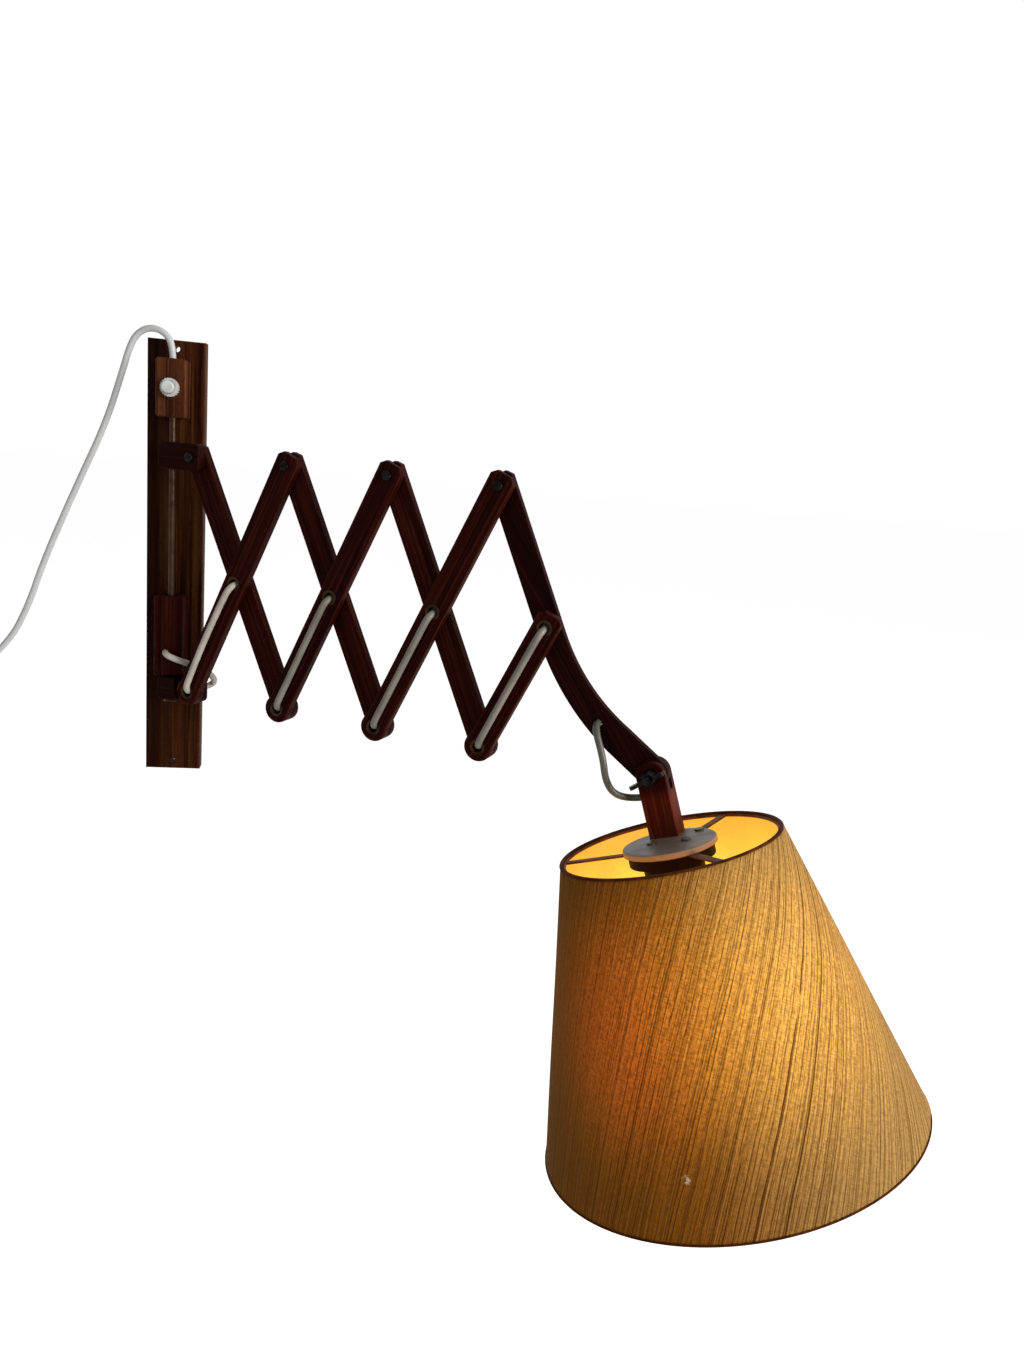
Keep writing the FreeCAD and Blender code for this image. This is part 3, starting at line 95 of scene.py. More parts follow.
def put(tree, kind, settings=None, **inputs):
    """Adds a shader node. An input is a value or another node's output; _0 stands for the first socket."""
    made = tree.nodes.new("ShaderNode" + kind)
    for name, value in (settings or {}).items():
        setattr(made, name, value)
    for name, value in inputs.items():
        place = int(name[1:]) if name[1:].isdigit() else name.replace("_", " ")
        if isinstance(value, bpy.types.NodeSocket):
            tree.links.new(value, made.inputs[place])
        else:
            made.inputs[place].default_value = value
    return made


def paint_room(tree, seen_light, unseen_light):
    """White where the camera, a mirror or glass looks at it, and a dimmer even fill for all other light."""
    path = put(tree, "LightPath")
    seen = put(tree, "Math", {"operation": "MAXIMUM"}, _0=path.outputs["Is Camera Ray"],
               _1=path.outputs["Is Glossy Ray"])
    seen = put(tree, "Math", {"operation": "MAXIMUM"}, _0=seen.outputs[0],
               _1=path.outputs["Is Transmission Ray"])
    return put(tree, "MixShader", Fac=seen.outputs[0], _1=unseen_light, _2=seen_light).outputs[0]


world = bpy.data.worlds.new("pale_room")
bpy.context.scene.world = world
world.use_nodes = True
tree = world.node_tree
tree.nodes.clear()
fill = put(tree, "Background", Color=(1, 1, 1, 1), Strength=0.36)
white = put(tree, "Background", Color=(1, 1, 1, 1), Strength=1.0)
put(tree, "OutputWorld", Surface=paint_room(tree, white.outputs[0], fill.outputs[0]))

floor_mesh = bpy.data.meshes.new("floor")
floor_mesh.from_pydata([(x * FLOOR_HALF, y * FLOOR_HALF, FLOOR_HEIGHT)
                        for x, y in ((-1, -1), (1, -1), (1, 1), (-1, 1))], [], [(0, 1, 2, 3)])
floor = bpy.data.objects.new("floor", floor_mesh)
bpy.context.scene.collection.objects.link(floor)
floor_paint = bpy.data.materials.new("pale_floor")
floor_paint.use_nodes = True
tree = floor_paint.node_tree
tree.nodes.clear()
matt = put(tree, "BsdfDiffuse", Color=(0.8, 0.8, 0.8, 1))
lift = put(tree, "Emission", Color=(1, 1, 1, 1), Strength=0.70)
bright = put(tree, "AddShader", _0=matt.outputs[0], _1=lift.outputs[0])
put(tree, "OutputMaterial", Surface=paint_room(tree, bright.outputs[0], matt.outputs[0]))
floor_mesh.materials.append(floor_paint)

# ---- The frames that the pieces are built in ---------------------------------------------------------
# The arm stands 30 degrees off the wall's plane, the head is tilted on its bolt, and the shade hangs
# under the head's block, leaning a little towards the room. Their numbers are the solids' own, in mm.
ARM_YAW = math.radians(30)
ROD_OUT = 25.9
HEAD_BOLT = (374.37, -89.98)
HEAD_TILT = math.radians(19.5)
SHADE_FOOT = (5.5, -39.5, 16.0)
SHADE_LEAN = math.radians(2.3)


def frame_place(at, columns):
    """A place in row millimetres from its origin and its three axes."""
    return Matrix.Translation(Vector(at)) @ Matrix(columns).transposed().to_4x4()


arm_out = Vector((math.cos(ARM_YAW), -math.sin(ARM_YAW), 0))
arm_up = Vector((0, 0, 1))
arm_front = arm_out.cross(arm_up)
ROW = Matrix.Identity(4)
ARM = frame_place((0, -ROD_OUT, 0), (arm_out, arm_up, arm_front))
HEAD = ARM @ Matrix.Translation((*HEAD_BOLT, 0)) @ Matrix.Rotation(HEAD_TILT, 4, "Z")
SHADE = HEAD @ Matrix.Translation(SHADE_FOOT) @ Matrix.Rotation(-math.pi / 2 - SHADE_LEAN, 4, "X")


def in_row(points, place=ROW):
    """Points of a frame, in mm, as row points in metres: turned, moved, and divided by a thousand."""
    points = np.asarray(points, float)
    moved = points @ np.array(place.to_3x3()).T + np.array(place.translation)
    return moved / 1000


# ---- Flex ----------------------------------------------------------------------------------------------
# Round grey-white plastic flex, 4.6 mm thick. The mains lead leaves the switch block's top, arches over
# and falls to the left, and its spare length is wound in two layers; it ends in a flat two-pin plug.
FLEX = 4.6
MAINS_WAY = [(-0.8, -22.5, 142), (-0.8, -22.5, 156.5), (-6.7, -21.5, 164.7), (-16, -19.5, 167.5),
             (-25.2, -17, 163.8), (-31.3, -15, 155), (-38, -12, 134), (-50, -8, 98), (-72, -5, 50),
             (-95, -3.2, -4), (-107, -2.9, -40), (-121.5, -2.5, -69), (-150, -2.5, -95)]
COIL_OUTER, COIL_INNER, COIL_LAYER, COIL_HALF_TURNS = 39.0, 18.0, 5.2, 14.22
COIL_LEAD_IN, COIL_LEAD_OUT = 4.6, 28.0
COIL_POINTS = 104


def winding(step):
    """The coil's line: its radius falls evenly to the middle half turn and grows again, and its height
    climbs one layer there on a smooth step; step counts half turns."""
    middle = COIL_HALF_TURNS / 2
    radius = COIL_OUTER + (COIL_INNER - COIL_OUTER) * (1 - np.abs(step - middle) / middle)
    climb = np.clip(step - middle + 0.5, 0, 1)
    height = COIL_LAYER * climb ** 2 * (3 - 2 * climb)
    return np.stack([radius * np.cos(np.pi * step), -height, -radius * np.sin(np.pi * step)], axis=1)


def unit(v):
    """A vector made one long."""
    return v / np.linalg.norm(v)


def coil_way(lead):
    """The winding turned in the wall's plane, so that the lead's last run goes straight into it."""
    coil = winding(np.linspace(0, COIL_HALF_TURNS, COIL_POINTS))
    fine = winding(np.array([0, 1e-4, COIL_HALF_TURNS - 1e-4, COIL_HALF_TURNS]))
    way_in, way_out = unit(fine[1] - fine[0]), unit(fine[3] - fine[2])
    run = unit(np.array(lead[-1]) - np.array(lead[-2]))
    angle = math.atan2(way_in[2], way_in[0]) - math.atan2(run[2], run[0])
    turn = np.array(Matrix.Rotation(angle, 3, "Y"))
    first = coil[0] - way_in * COIL_LEAD_IN
    out = [coil[-1] + way_out * COIL_LEAD_OUT * share for share in (0.4, 1)]
    return (np.vstack([coil, out]) - first) @ turn.T + np.array(lead[-1])


def flex(name, way, place, body, replaced, paint):
    """A round flex that rides one body: a NURBS spline of order 3, with the way as its control points."""
    curve = bpy.data.curves.new(name, "CURVE")
    curve.dimensions = "3D"
    curve.bevel_depth = FLEX / 2000
    curve.bevel_resolution = 6
    curve.resolution_u = 12
    curve.use_fill_caps = True
    spline = curve.splines.new("NURBS")
    points = in_row(way, place)
    spline.points.add(len(points) - 1)
    spline.points.foreach_set("co", np.c_[points, np.ones(len(points))].ravel())
    spline.order_u = 3
    spline.use_endpoint_u = True
    piece = bpy.data.objects.new(name, curve)
    bpy.context.scene.collection.objects.link(piece)
    curve.materials.append(paint)
    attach(piece, body)
    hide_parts(*replaced)
    return piece


def new_paint(name, **plain):
    """A material with one Principled shader; plain values are set on the shader's own sockets."""
    paint = bpy.data.materials.new(name)
    paint.use_nodes = True
    shader = paint.node_tree.nodes["Principled BSDF"]
    for socket, value in plain.items():
        shader.inputs[socket.replace("_", " ")].default_value = value
    return paint, paint.node_tree, shader


def bump(tree, shader, height, depth):
    """Raises the surface by height times depth, in metres."""
    relief = put(tree, "Bump", Strength=1.0, Distance=depth, Height=height)
    tree.links.new(relief.outputs[0], shader.inputs["Normal"])


def flex_paint(name, colour, grime):
    """Smooth plastic, a little greyer where hands and dust have been."""
    paint, tree, shader = new_paint(name, Roughness=0.42, Specular_IOR_Level=0.4)
    where = put(tree, "TexCoord").outputs["Object"]
    cloud = put(tree, "TexNoise", Vector=where, Scale=55.0, Detail=4.0, Roughness=0.6)
    tint = put(tree, "ValToRGB", Fac=cloud.outputs[0])
    tint.color_ramp.elements[0].position, tint.color_ramp.elements[1].position = 0.34, 0.62
    tint.color_ramp.elements[0].color, tint.color_ramp.elements[1].color = (*grime, 1), (*colour, 1)
    tree.links.new(tint.outputs[0], shader.inputs["Base Color"])
    fine = put(tree, "TexNoise", Vector=where, Scale=900.0, Detail=2.0)
    bump(tree, shader, fine.outputs[0], 0.00001)
    return paint


mains_paint = flex_paint("pale_flex", (0.55, 0.55, 0.54), (0.51, 0.505, 0.495))
feed_paint = flex_paint("feed_flex", (0.52, 0.46, 0.39), (0.40, 0.35, 0.29))
# The lengths along the arm are painted darker than the flex's own grey-white, as painted shade.
arm_flex_shade_paint = flex_paint("flex_in_painted_shade", (0.235, 0.205, 0.170), (0.165, 0.145, 0.118))
# The loop at the head is painted darker still, as painted shade under the curved arm.
loop_flex_shade_paint = flex_paint("shaded_flex", (0.110, 0.105, 0.080), (0.062, 0.060, 0.044))
mains_flex = flex("mains_flex", np.vstack([MAINS_WAY[:-1], coil_way(MAINS_WAY)]), ROW, "wall_unit",
                  ["mains_cord", "mains_coil"], mains_paint)

# The bars' half length, their angle, the first low pivot, and how far from one pivot to the next.
BAR_HALF, BAR_ANGLE, PIVOT_OUT, PIVOT_LOW = 94.3, math.radians(65.35), 20.8, -91.5127
CELL, RISE = (2 * BAR_HALF * f for f in (math.cos(BAR_ANGLE), math.sin(BAR_ANGLE)))
FLEX_OUT = 10.2                        # how far the flex goes out of a hole, from the arm's middle plane
ARM_HOLE = (335.489, -62.697)          # the hole near the curved arm's end, in the arm's frame


def low_pivot(i):
    """The low pivot of a front bar, in the arm's frame."""
    return Vector((PIVOT_OUT + i * CELL, PIVOT_LOW, 0))


def crossing(i):
    """The pivot where a front and a back bar cross, in the arm's frame."""
    return Vector((PIVOT_OUT + (i + 0.5) * CELL, PIVOT_LOW + RISE / 2, 0))


def bar_place(at, angle):
    """The arm's frame moved to a pivot and turned so that x runs along a bar."""
    return ARM @ Matrix.Translation(at) @ Matrix.Rotation(angle, 4, "Z")


def merge_doubles(mesh, turn_out=False):
    """Joins points that lie on each other, and may turn the faces outward."""
    work = bmesh.new()
    work.from_mesh(mesh)
    bmesh.ops.remove_doubles(work, verts=work.verts, dist=1e-6)
    if turn_out:
        bmesh.ops.recalc_face_normals(work, faces=work.faces)
    work.to_mesh(mesh)
    work.free()


def arm_flex(name, way, place, body, node, paint=arm_flex_shade_paint,
             across=None):
    """A length of the arm's flex, with both ends inside the wood or a hollow pivot. One that goes across a
    joint is made a mesh tube, which is left in the row and rides no body."""
    piece = flex(name, way, place, body, [node], paint)
    if across:
        curve, tube = piece.data, bpy.data.meshes.new_from_object(piece)
        curve.bevel_depth = 0
        line = bpy.data.meshes.new_from_object(piece)
        bpy.data.objects.remove(piece)
        merge_doubles(tube)
        tube.shade_smooth()
        piece = bpy.data.objects.new(name, tube)
        bpy.context.scene.collection.objects.link(piece)
        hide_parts(node)
        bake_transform(piece)


def way_on_bar(side, bow):
    """Out of a hollow pivot, over the bar in a long low bow, and into the next pivot; shares of the bar."""
    steps = np.array(((0, 0), (0.19, 0.7), (0.5, 1), (0.81, 0.7), (1, 0)))
    out = np.array((FLEX_OUT, 9.5, 9.3, 9.5, FLEX_OUT)) * side
    over = np.c_[steps[:, 0] * BAR_HALF, steps[:, 1] * bow, out]
    return np.vstack([[(0, 0, 0)], over, [(BAR_HALF, 0, 0)]])


# The first front length bows out a little further and keeps the flex's own paler colour; the rest carry painted
# shade.
for i in range(4):
    bow, paint = (0.5, arm_flex_shade_paint) if i else (2.2, feed_paint)
    arm_flex(f"front_flex_{i}", way_on_bar(1, bow), bar_place(low_pivot(i), BAR_ANGLE), f"front_{i}",
             f"cord_front_{i}", paint=paint)
for i in range(3):
    arm_flex(f"back_flex_{i}", way_on_bar(-1, 1.0), bar_place(crossing(i), -BAR_ANGLE), f"back_{i}",
             f"cord_back_{i}")
last = crossing(3)
arm_flex("curved_arm_flex",
         [(last.x, last.y, 0), (last.x, last.y, -FLEX_OUT), (last.x + 5, last.y - 15, -FLEX_OUT),
          (last.x + 19, last.y - 39, -FLEX_OUT), (*ARM_HOLE, -FLEX_OUT), (*ARM_HOLE, -0.5)],
         ARM, "curved_arm", "cord_arm")

# From the arm's hole the flex hangs in a loop to the head block's side; it is painted darker still, as painted
# shade under the curved arm.
to_arm = ARM.inverted()
block_side = [tuple(to_arm @ (HEAD @ Vector((x, -14.4, -3.5)))) for x in (-16.5, -7.5)]
arm_flex("head_flex_loop",
         [(*ARM_HOLE, -0.5)] + [(ARM_HOLE[0] + x, ARM_HOLE[1] + y, z) for x, y, z in
                                ((0, 0, 8), (8.7, -19.3, 11), (11.5, -34.3, 9.5), (17.5, -43.5, 5.5))]
         + block_side,
         ARM, "curved_arm", "cord_loop", loop_flex_shade_paint, across=("head", 1, -2))

# Out of the lower block's front it goes round to the back of the first low pivot.
block_hole = [tuple(to_arm @ Vector(point)) for point in ((-3.2, -27.5, -64.0127), (-3.2, -37, -64.0127))]
pivot = low_pivot(0)
arm_flex("feed_flex",
         block_hole + [(pivot.x + x, pivot.y + y, z) for x, y, z in
                       ((-10, 23.7, 8), (-2.5, 18.5, -3.5), (4.5, 13.5, -11.5), (7.6, 5.5, -17.5),
                        (0, 0, -17.5), (0, 0, 0))],
         ARM, "wall_unit", "cord_feed", feed_paint, across=("swivel", 1, -1))

# ---- Teak --------------------------------------------------------------------------------------------
# Board, blocks, bars, curved arm and head block are dark oiled teak, sawn with the grain along each piece
# and planed, with the edges eased by hand, rubbed a little paler by use and lightened by a painted highlight.


def group_tree(name, inputs, outputs):
    """A shader node group with named sockets, and its input and output nodes."""
    tree = bpy.data.node_groups.new(name, "ShaderNodeTree")
    for way, sockets in (("INPUT", inputs), ("OUTPUT", outputs)):
        for socket, kind in sockets.items():
            tree.interface.new_socket(socket, in_out=way, socket_type="NodeSocket" + kind)
    return tree, tree.nodes.new("NodeGroupInput"), tree.nodes.new("NodeGroupOutput")


def calc(tree, operation, *values):
    """A sum, product or the like of numbers and sockets, as a socket."""
    terms = {f"_{i}": value for i, value in enumerate(values)}
    return put(tree, "Math", {"operation": operation}, **terms).outputs[0]


def ease(tree, value, low, high):
    """0 below low, 1 above high, and a smooth step between; low above high turns it round."""
    return put(tree, "MapRange", {"interpolation_type": "SMOOTHSTEP"}, Value=value, From_Min=low,
               From_Max=high).outputs[0]


def mixed(tree, share, under, over):
    """A share of one colour laid over another."""
    return put(tree, "MixRGB", Fac=share, Color1=under, Color2=over).outputs[0]


def noise(tree, place, scale, seed, detail=3.0, distortion=0.0):
    """Noise whose cells are one over scale metres long along each axis."""
    drawn = put(tree, "VectorMath", {"operation": "MULTIPLY"}, _0=place, _1=scale).outputs[0]
    return put(tree, "TexNoise", {"noise_dimensions": "4D"}, Vector=drawn, W=seed, Scale=1.0, Detail=detail,
               Distortion=distortion).outputs[0]


# Dark and brown bands run along the board, with paler streaks and short dark pores in them.
figure, given, result = group_tree(
    "teak_figure", {"Place": "Vector", "Board": "Float", "Dark": "Color", "Brown": "Color", "Pale": "Color"},
    {"Colour": "Color", "Roughness": "Float", "Height": "Float"})
place, board = given.outputs["Place"], given.outputs["Board"]
bands = noise(figure, place, (5, 110, 110), board, 4.0, 0.7)
streaks = noise(figure, place, (11, 560, 560), board, 3.0, 0.2)
pores = noise(figure, place, (170, 2900, 2900), board, 1.0)
colour = mixed(figure, ease(figure, bands, 0.36, 0.62), given.outputs["Dark"], given.outputs["Brown"])
colour = mixed(figure, calc(figure, "MULTIPLY", ease(figure, streaks, 0.42, 0.72), 0.75), colour,
               given.outputs["Pale"])
dips = ease(figure, pores, 0.58, 0.68)
colour = mixed(figure, calc(figure, "MULTIPLY", dips, 0.6), colour, given.outputs["Dark"])
figure.links.new(colour, result.inputs["Colour"])
figure.links.new(calc(figure, "MULTIPLY_ADD", streaks, 0.25, 0.38), result.inputs["Roughness"])
figure.links.new(calc(figure, "SUBTRACT", calc(figure, "MULTIPLY", streaks, 0.7), dips),
                 result.inputs["Height"])

# The edges are rubbed paler by use and carry a painted highlight: a point's second least distance to the
# board's faces is small only along an edge.
worn_lit_edges, given, result = group_tree("worn_and_highlit_edges", {"Place": "Vector", "Half": "Vector", "Width": "Float"},
                                {"WearAndHighlight": "Float"})
inside = put(worn_lit_edges, "VectorMath", {"operation": "ABSOLUTE"}, _0=given.outputs["Place"]).outputs[0]
inside = put(worn_lit_edges, "VectorMath", {"operation": "SUBTRACT"}, _0=given.outputs["Half"], _1=inside).outputs[0]
gaps = put(worn_lit_edges, "SeparateXYZ", Vector=inside).outputs
near = calc(worn_lit_edges, "MAXIMUM", calc(worn_lit_edges, "MINIMUM", gaps[0], gaps[1]),
            calc(worn_lit_edges, "MINIMUM", calc(worn_lit_edges, "MAXIMUM", gaps[0], gaps[1]), gaps[2]))
worn = noise(worn_lit_edges, given.outputs["Place"], (60, 160, 160), 0.0, 3.0)
reach = calc(worn_lit_edges, "MULTIPLY", given.outputs["Width"], calc(worn_lit_edges, "MULTIPLY_ADD", worn, 2.4, -0.35))
edge = calc(worn_lit_edges, "SUBTRACT", 1.0, calc(worn_lit_edges, "DIVIDE", near, calc(worn_lit_edges, "MAXIMUM", reach, 0.00002)))
worn_lit_edges.links.new(calc(worn_lit_edges, "MINIMUM", calc(worn_lit_edges, "MAXIMUM", edge, 0.0), 1.0), result.inputs["WearAndHighlight"])


def local_place(tree, at, place):
    """Object coordinates in metres, from a point of a place, in mm, and along the place's axes."""
    where = put(tree, "TexCoord").outputs["Object"]
    axes = [place.to_3x3() @ Vector(axis) for axis in ((1, 0, 0), (0, 1, 0), (0, 0, 1))]
    turn = Matrix(axes).transposed().to_euler("XYZ")
    return put(tree, "Mapping", {"vector_type": "TEXTURE"}, Vector=where, Location=Vector(in_row(at, place)),
               Rotation=Vector(turn)).outputs[0]


def coat(nodes, paint):
    """Gives solids one paint in place of their own."""
    for node in nodes:
        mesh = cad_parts[node].data
        mesh.materials.clear()
        mesh.materials.append(paint)


def teak(name, nodes, place, at, half, board, dark, brown, pale, edge_wear_and_highlight=0.5, darker_along=None):
    """Paints solids as one teak board whose grain is the place's x; at is its middle and half its half sizes.
    The last argument darkens the colour along an axis: its number, where it starts and is full, and its
    strength."""
    paint, tree, shader = new_paint(name, Specular_IOR_Level=0.022)
    where = local_place(tree, at, place)
    grain = put(tree, "Group", {"node_tree": figure}, Place=where, Board=float(board), Dark=(*dark, 1),
                Brown=(*brown, 1), Pale=(*pale, 1))
    edges = put(tree, "Group", {"node_tree": worn_lit_edges}, Place=where, Half=Vector(half) / 1000, Width=EDGE_WEAR_AND_HIGHLIGHT_WIDTH)
    # The edges are paler from wear and from a painted highlight.
    colour = mixed(tree, calc(tree, "MULTIPLY", edges.outputs[0], edge_wear_and_highlight), grain.outputs[0],
                   (*(1.7 * c + 0.006 for c in pale), 1))
    if darker_along:
        axis, low, high, share = darker_along
        along = put(tree, "SeparateXYZ", Vector=where).outputs[axis]
        deep = calc(tree, "MULTIPLY", ease(tree, along, low / 1000, high / 1000), share)
        colour = mixed(tree, deep, colour, (*(0.5 * c for c in dark), 1))
    tree.links.new(colour, shader.inputs["Base Color"])
    tree.links.new(grain.outputs[1], shader.inputs["Roughness"])
    bump(tree, shader, grain.outputs[2], 0.00012)
    coat(nodes, paint)


UPRIGHT = frame_place((0, 0, 0), ((0, 0, 1), (1, 0, 0), (0, 1, 0)))   # x up the board, y to the right
EDGE_WEAR_AND_HIGHLIGHT_WIDTH = 0.0009
# The dark, brown and pale of each kind of piece.
BOARD_TEAK = (0.012, 0.0012, 0.0006), (0.045, 0.0110, 0.0026), (0.085, 0.0310, 0.0080)
BLOCK_TEAK = (0.022, 0.0040, 0.0014), (0.070, 0.0200, 0.0070), (0.120, 0.0420, 0.0160)
BAR_TEAK = (0.007, 0.0005, 0.0004), (0.024, 0.0020, 0.0011), (0.060, 0.0110, 0.0045)
ARM_TEAK = (0.004, 0.0003, 0.0002), (0.012, 0.0010, 0.0006), (0.030, 0.0060, 0.0030)
HEAD_TEAK = (0.040, 0.0030, 0.0020), (0.095, 0.0110, 0.0045), (0.170, 0.0400, 0.0120)
BLOCK_MIDDLE = -12.5 - 10              # the board's thickness and half a block's
# The board is darker towards its left edge.
teak("board_teak", ["wall_plate"], UPRIGHT, (0, 0, -6.25), (161, 20.25, 6.25), 1, *BOARD_TEAK,
     darker_along=(1, 3, -15, 0.72))
teak("switch_block_teak", ["switch_block"], UPRIGHT, (126.75, -0.8, BLOCK_MIDDLE), (20.25, 10.5, 10), 2,
     *BLOCK_TEAK)
teak("lower_block_teak", ["lower_block"], UPRIGHT, (-52, -0.8, BLOCK_MIDDLE), (30, 10.5, 10), 3, *BAR_TEAK)
for name, middle, board in (("upper_slider", PIVOT_LOW + RISE, 4), ("lower_swivel", PIVOT_LOW, 5)):
    teak(name + "_teak", [name], ARM, (11, middle, 0), (17.5, 9.5, 7.5), board, *ARM_TEAK, 0.25)
for i in range(3):
    teak(f"front_bar_teak_{i}", [f"bar_front_{i}"], bar_place(crossing(i), BAR_ANGLE), (0, 0, 3.5),
         (103, 8.75, 3), 10 + i, *BAR_TEAK)
    teak(f"back_bar_teak_{i}", [f"bar_back_{i}"], bar_place(crossing(i), -BAR_ANGLE), (0, 0, -3.5),
         (103, 8.75, 3), 20 + i, *BAR_TEAK)
teak("half_bar_teak", ["bar_front_3"], bar_place(low_pivot(3), BAR_ANGLE), (BAR_HALF / 2, 0, 3.5),
     (57, 8.75, 3), 13, *BAR_TEAK)
teak("curved_arm_teak", ["curved_arm"], bar_place(crossing(3), math.radians(-54)), (20, 0, -3.5),
     (200, 200, 3), 30, *ARM_TEAK, 0.0)
HEAD_ALONG = HEAD @ Matrix.Rotation(math.pi / 2, 4, "Z")               # x up the block, y to its left
# Painted shade darkens the head block's top end round the bolt, where the arm and wing nut shade it.
teak("head_block_teak", ["head_block"], HEAD_ALONG, (-15, 0, -3.5), (25, 9.5, 9.5), 31, *HEAD_TEAK,
     darker_along=(0, -3, 9, 0.93))

# ---- Metal fittings ------------------------------------------------------------------------------------
# A drawn steel rod and pin, bright wood screws and plug pins, brass hollow pivots dark with age, and
# blackened screws, bolt, wing nut and shade spider.


def metal(name, nodes, colour, tarnish, roughness, shine=1.0):
    """Metal with cloudy tarnish; the clouds also make it duller."""
    paint, tree, shader = new_paint(name, Metallic=shine, Specular_IOR_Level=0.4 * shine)
    where = put(tree, "TexCoord").outputs["Object"]
    cloud = noise(tree, where, (140, 140, 140), 1.0, 4.0, 0.4)
    tree.links.new(mixed(tree, ease(tree, cloud, 0.4, 0.65), (*colour, 1), (*tarnish, 1)),
                   shader.inputs["Base Color"])
    tree.links.new(calc(tree, "MULTIPLY_ADD", cloud, 0.3, roughness - 0.12), shader.inputs["Roughness"])
    bump(tree, shader, noise(tree, where, (900, 900, 900), 2.0, 2.0), 0.00003)
    coat(nodes, paint)
    return paint


metal("drawn_steel", ["steel_rod", "swivel_pin"], (0.042, 0.024, 0.015), (0.024, 0.012, 0.007), 0.32)
metal("bright_steel", ["plug_pins", "block_screws"], (0.52, 0.50, 0.46), (0.36, 0.33, 0.29), 0.32)
metal("aged_brass", [f"hollow_pivot_{k}_{i}" for k in ("low", "mid") for i in range(4)],
      (0.034, 0.020, 0.010), (0.014, 0.007, 0.004), 0.45)
metal("blackened_steel", ["wing_nut", "head_bolt"] + [f"pivot_screw_{i}" for i in range(4)],
      (0.013, 0.012, 0.012), (0.006, 0.005, 0.005), 0.36)
metal("brown_strip", ["shade_spider", "shade_rings"], (0.150, 0.042, 0.012), (0.075, 0.020, 0.006), 0.5, 0.2)
metal("dull_screws", ["disc_screws"], (0.085, 0.070, 0.058), (0.035, 0.026, 0.020), 0.45)

# ---- Lampholder, bulb, disc and switch -----------------------------------------------------------------
# Turned or moulded pieces: a frosted bulb with a screw cap in a dark moulded holder, a dark cup and a
# grey-white disc under the head block, and the white push switch with its knurled ring.


def grid_faces(rows, columns, closed_rows, closed_columns):
    """Four-sided faces between neighbours of a grid of points, round the closed directions too."""
    r, c = np.meshgrid(np.arange(rows if closed_rows else rows - 1),
                       np.arange(columns if closed_columns else columns - 1), indexing="ij")
    up, on = (r + 1) % rows, (c + 1) % columns
    faces = np.stack([r * columns + c, r * columns + on, up * columns + on, up * columns + c], -1)
    return faces.reshape(-1, 4)


def surface(name, points, faces, place, body, replaced, paints, sharp=35, worn=None):
    """A mesh of grid points, its doubles merged, its faces turned outward and smooth up to a sharp angle;
    worn is each face's paint, by its number."""
    mesh = bpy.data.meshes.new(name)
    mesh.from_pydata(in_row(points, place).tolist(), [], faces.tolist())
    for paint in paints:
        mesh.materials.append(paint)
    if worn is not None:
        mesh.polygons.foreach_set("material_index", worn.astype(np.int32))
    merge_doubles(mesh, turn_out=True)
    mesh.shade_smooth()
    mesh.set_sharp_from_angle(angle=math.radians(sharp))
    piece = bpy.data.objects.new(name, mesh)
    bpy.context.scene.collection.objects.link(piece)
    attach(piece, body)
    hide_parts(*replaced)
    return piece


def turned(name, profile, place, body, replaced, paints, around, paint_from):
    """A profile of radius and height turned round the place's z: x is the radius times the turn's cosine,
    y times its sine; the second paint starts at one of the profile's points."""
    t = np.linspace(0, 2 * math.pi, around, endpoint=False)
    r, z = profile[:, :1], profile[:, 1:]
    points = np.stack([r * np.cos(t), r * np.sin(t), z + 0 * t], -1).reshape(-1, 3)
    faces = grid_faces(len(profile), around, False, True)
    worn = (faces[:, 0] // around >= paint_from).astype(int)
    return surface(name, points, faces, place, body, replaced, paints, worn=worn)


def plastic(name, colour, grime, roughness, nodes, shine=0.4):
    """Moulded plastic with a faint grime and a fine dull grain."""
    paint, tree, shader = new_paint(name, Specular_IOR_Level=shine)
    where = put(tree, "TexCoord").outputs["Object"]
    cloud = noise(tree, where, (70, 70, 70), 3.0, 5.0, 0.3)
    tree.links.new(mixed(tree, ease(tree, cloud, 0.42, 0.66), (*colour, 1), (*grime, 1)),
                   shader.inputs["Base Color"])
    tree.links.new(calc(tree, "MULTIPLY_ADD", cloud, 0.25, roughness - 0.1), shader.inputs["Roughness"])
    bump(tree, shader, noise(tree, where, (1300, 1300, 1300), 4.0, 2.0), 0.00003)
    coat(nodes, paint)


plastic("dark_cup", (0.014, 0.0020, 0.0012), (0.008, 0.0012, 0.0008), 0.5, ["holder_cup", "lamp_holder"],
        shine=0.06)
plastic("white_switch", (0.60, 0.62, 0.60), (0.42, 0.41, 0.37), 0.32,
        ["switch_body", "switch_nut", "switch_button"])
plastic("white_plug", (0.62, 0.62, 0.60), (0.45, 0.44, 0.41), 0.35, ["plug_body"])
plastic("dark_lead", (0.16, 0.15, 0.14), (0.10, 0.095, 0.09), 0.45, ["hidden_leads", "head_lead"])

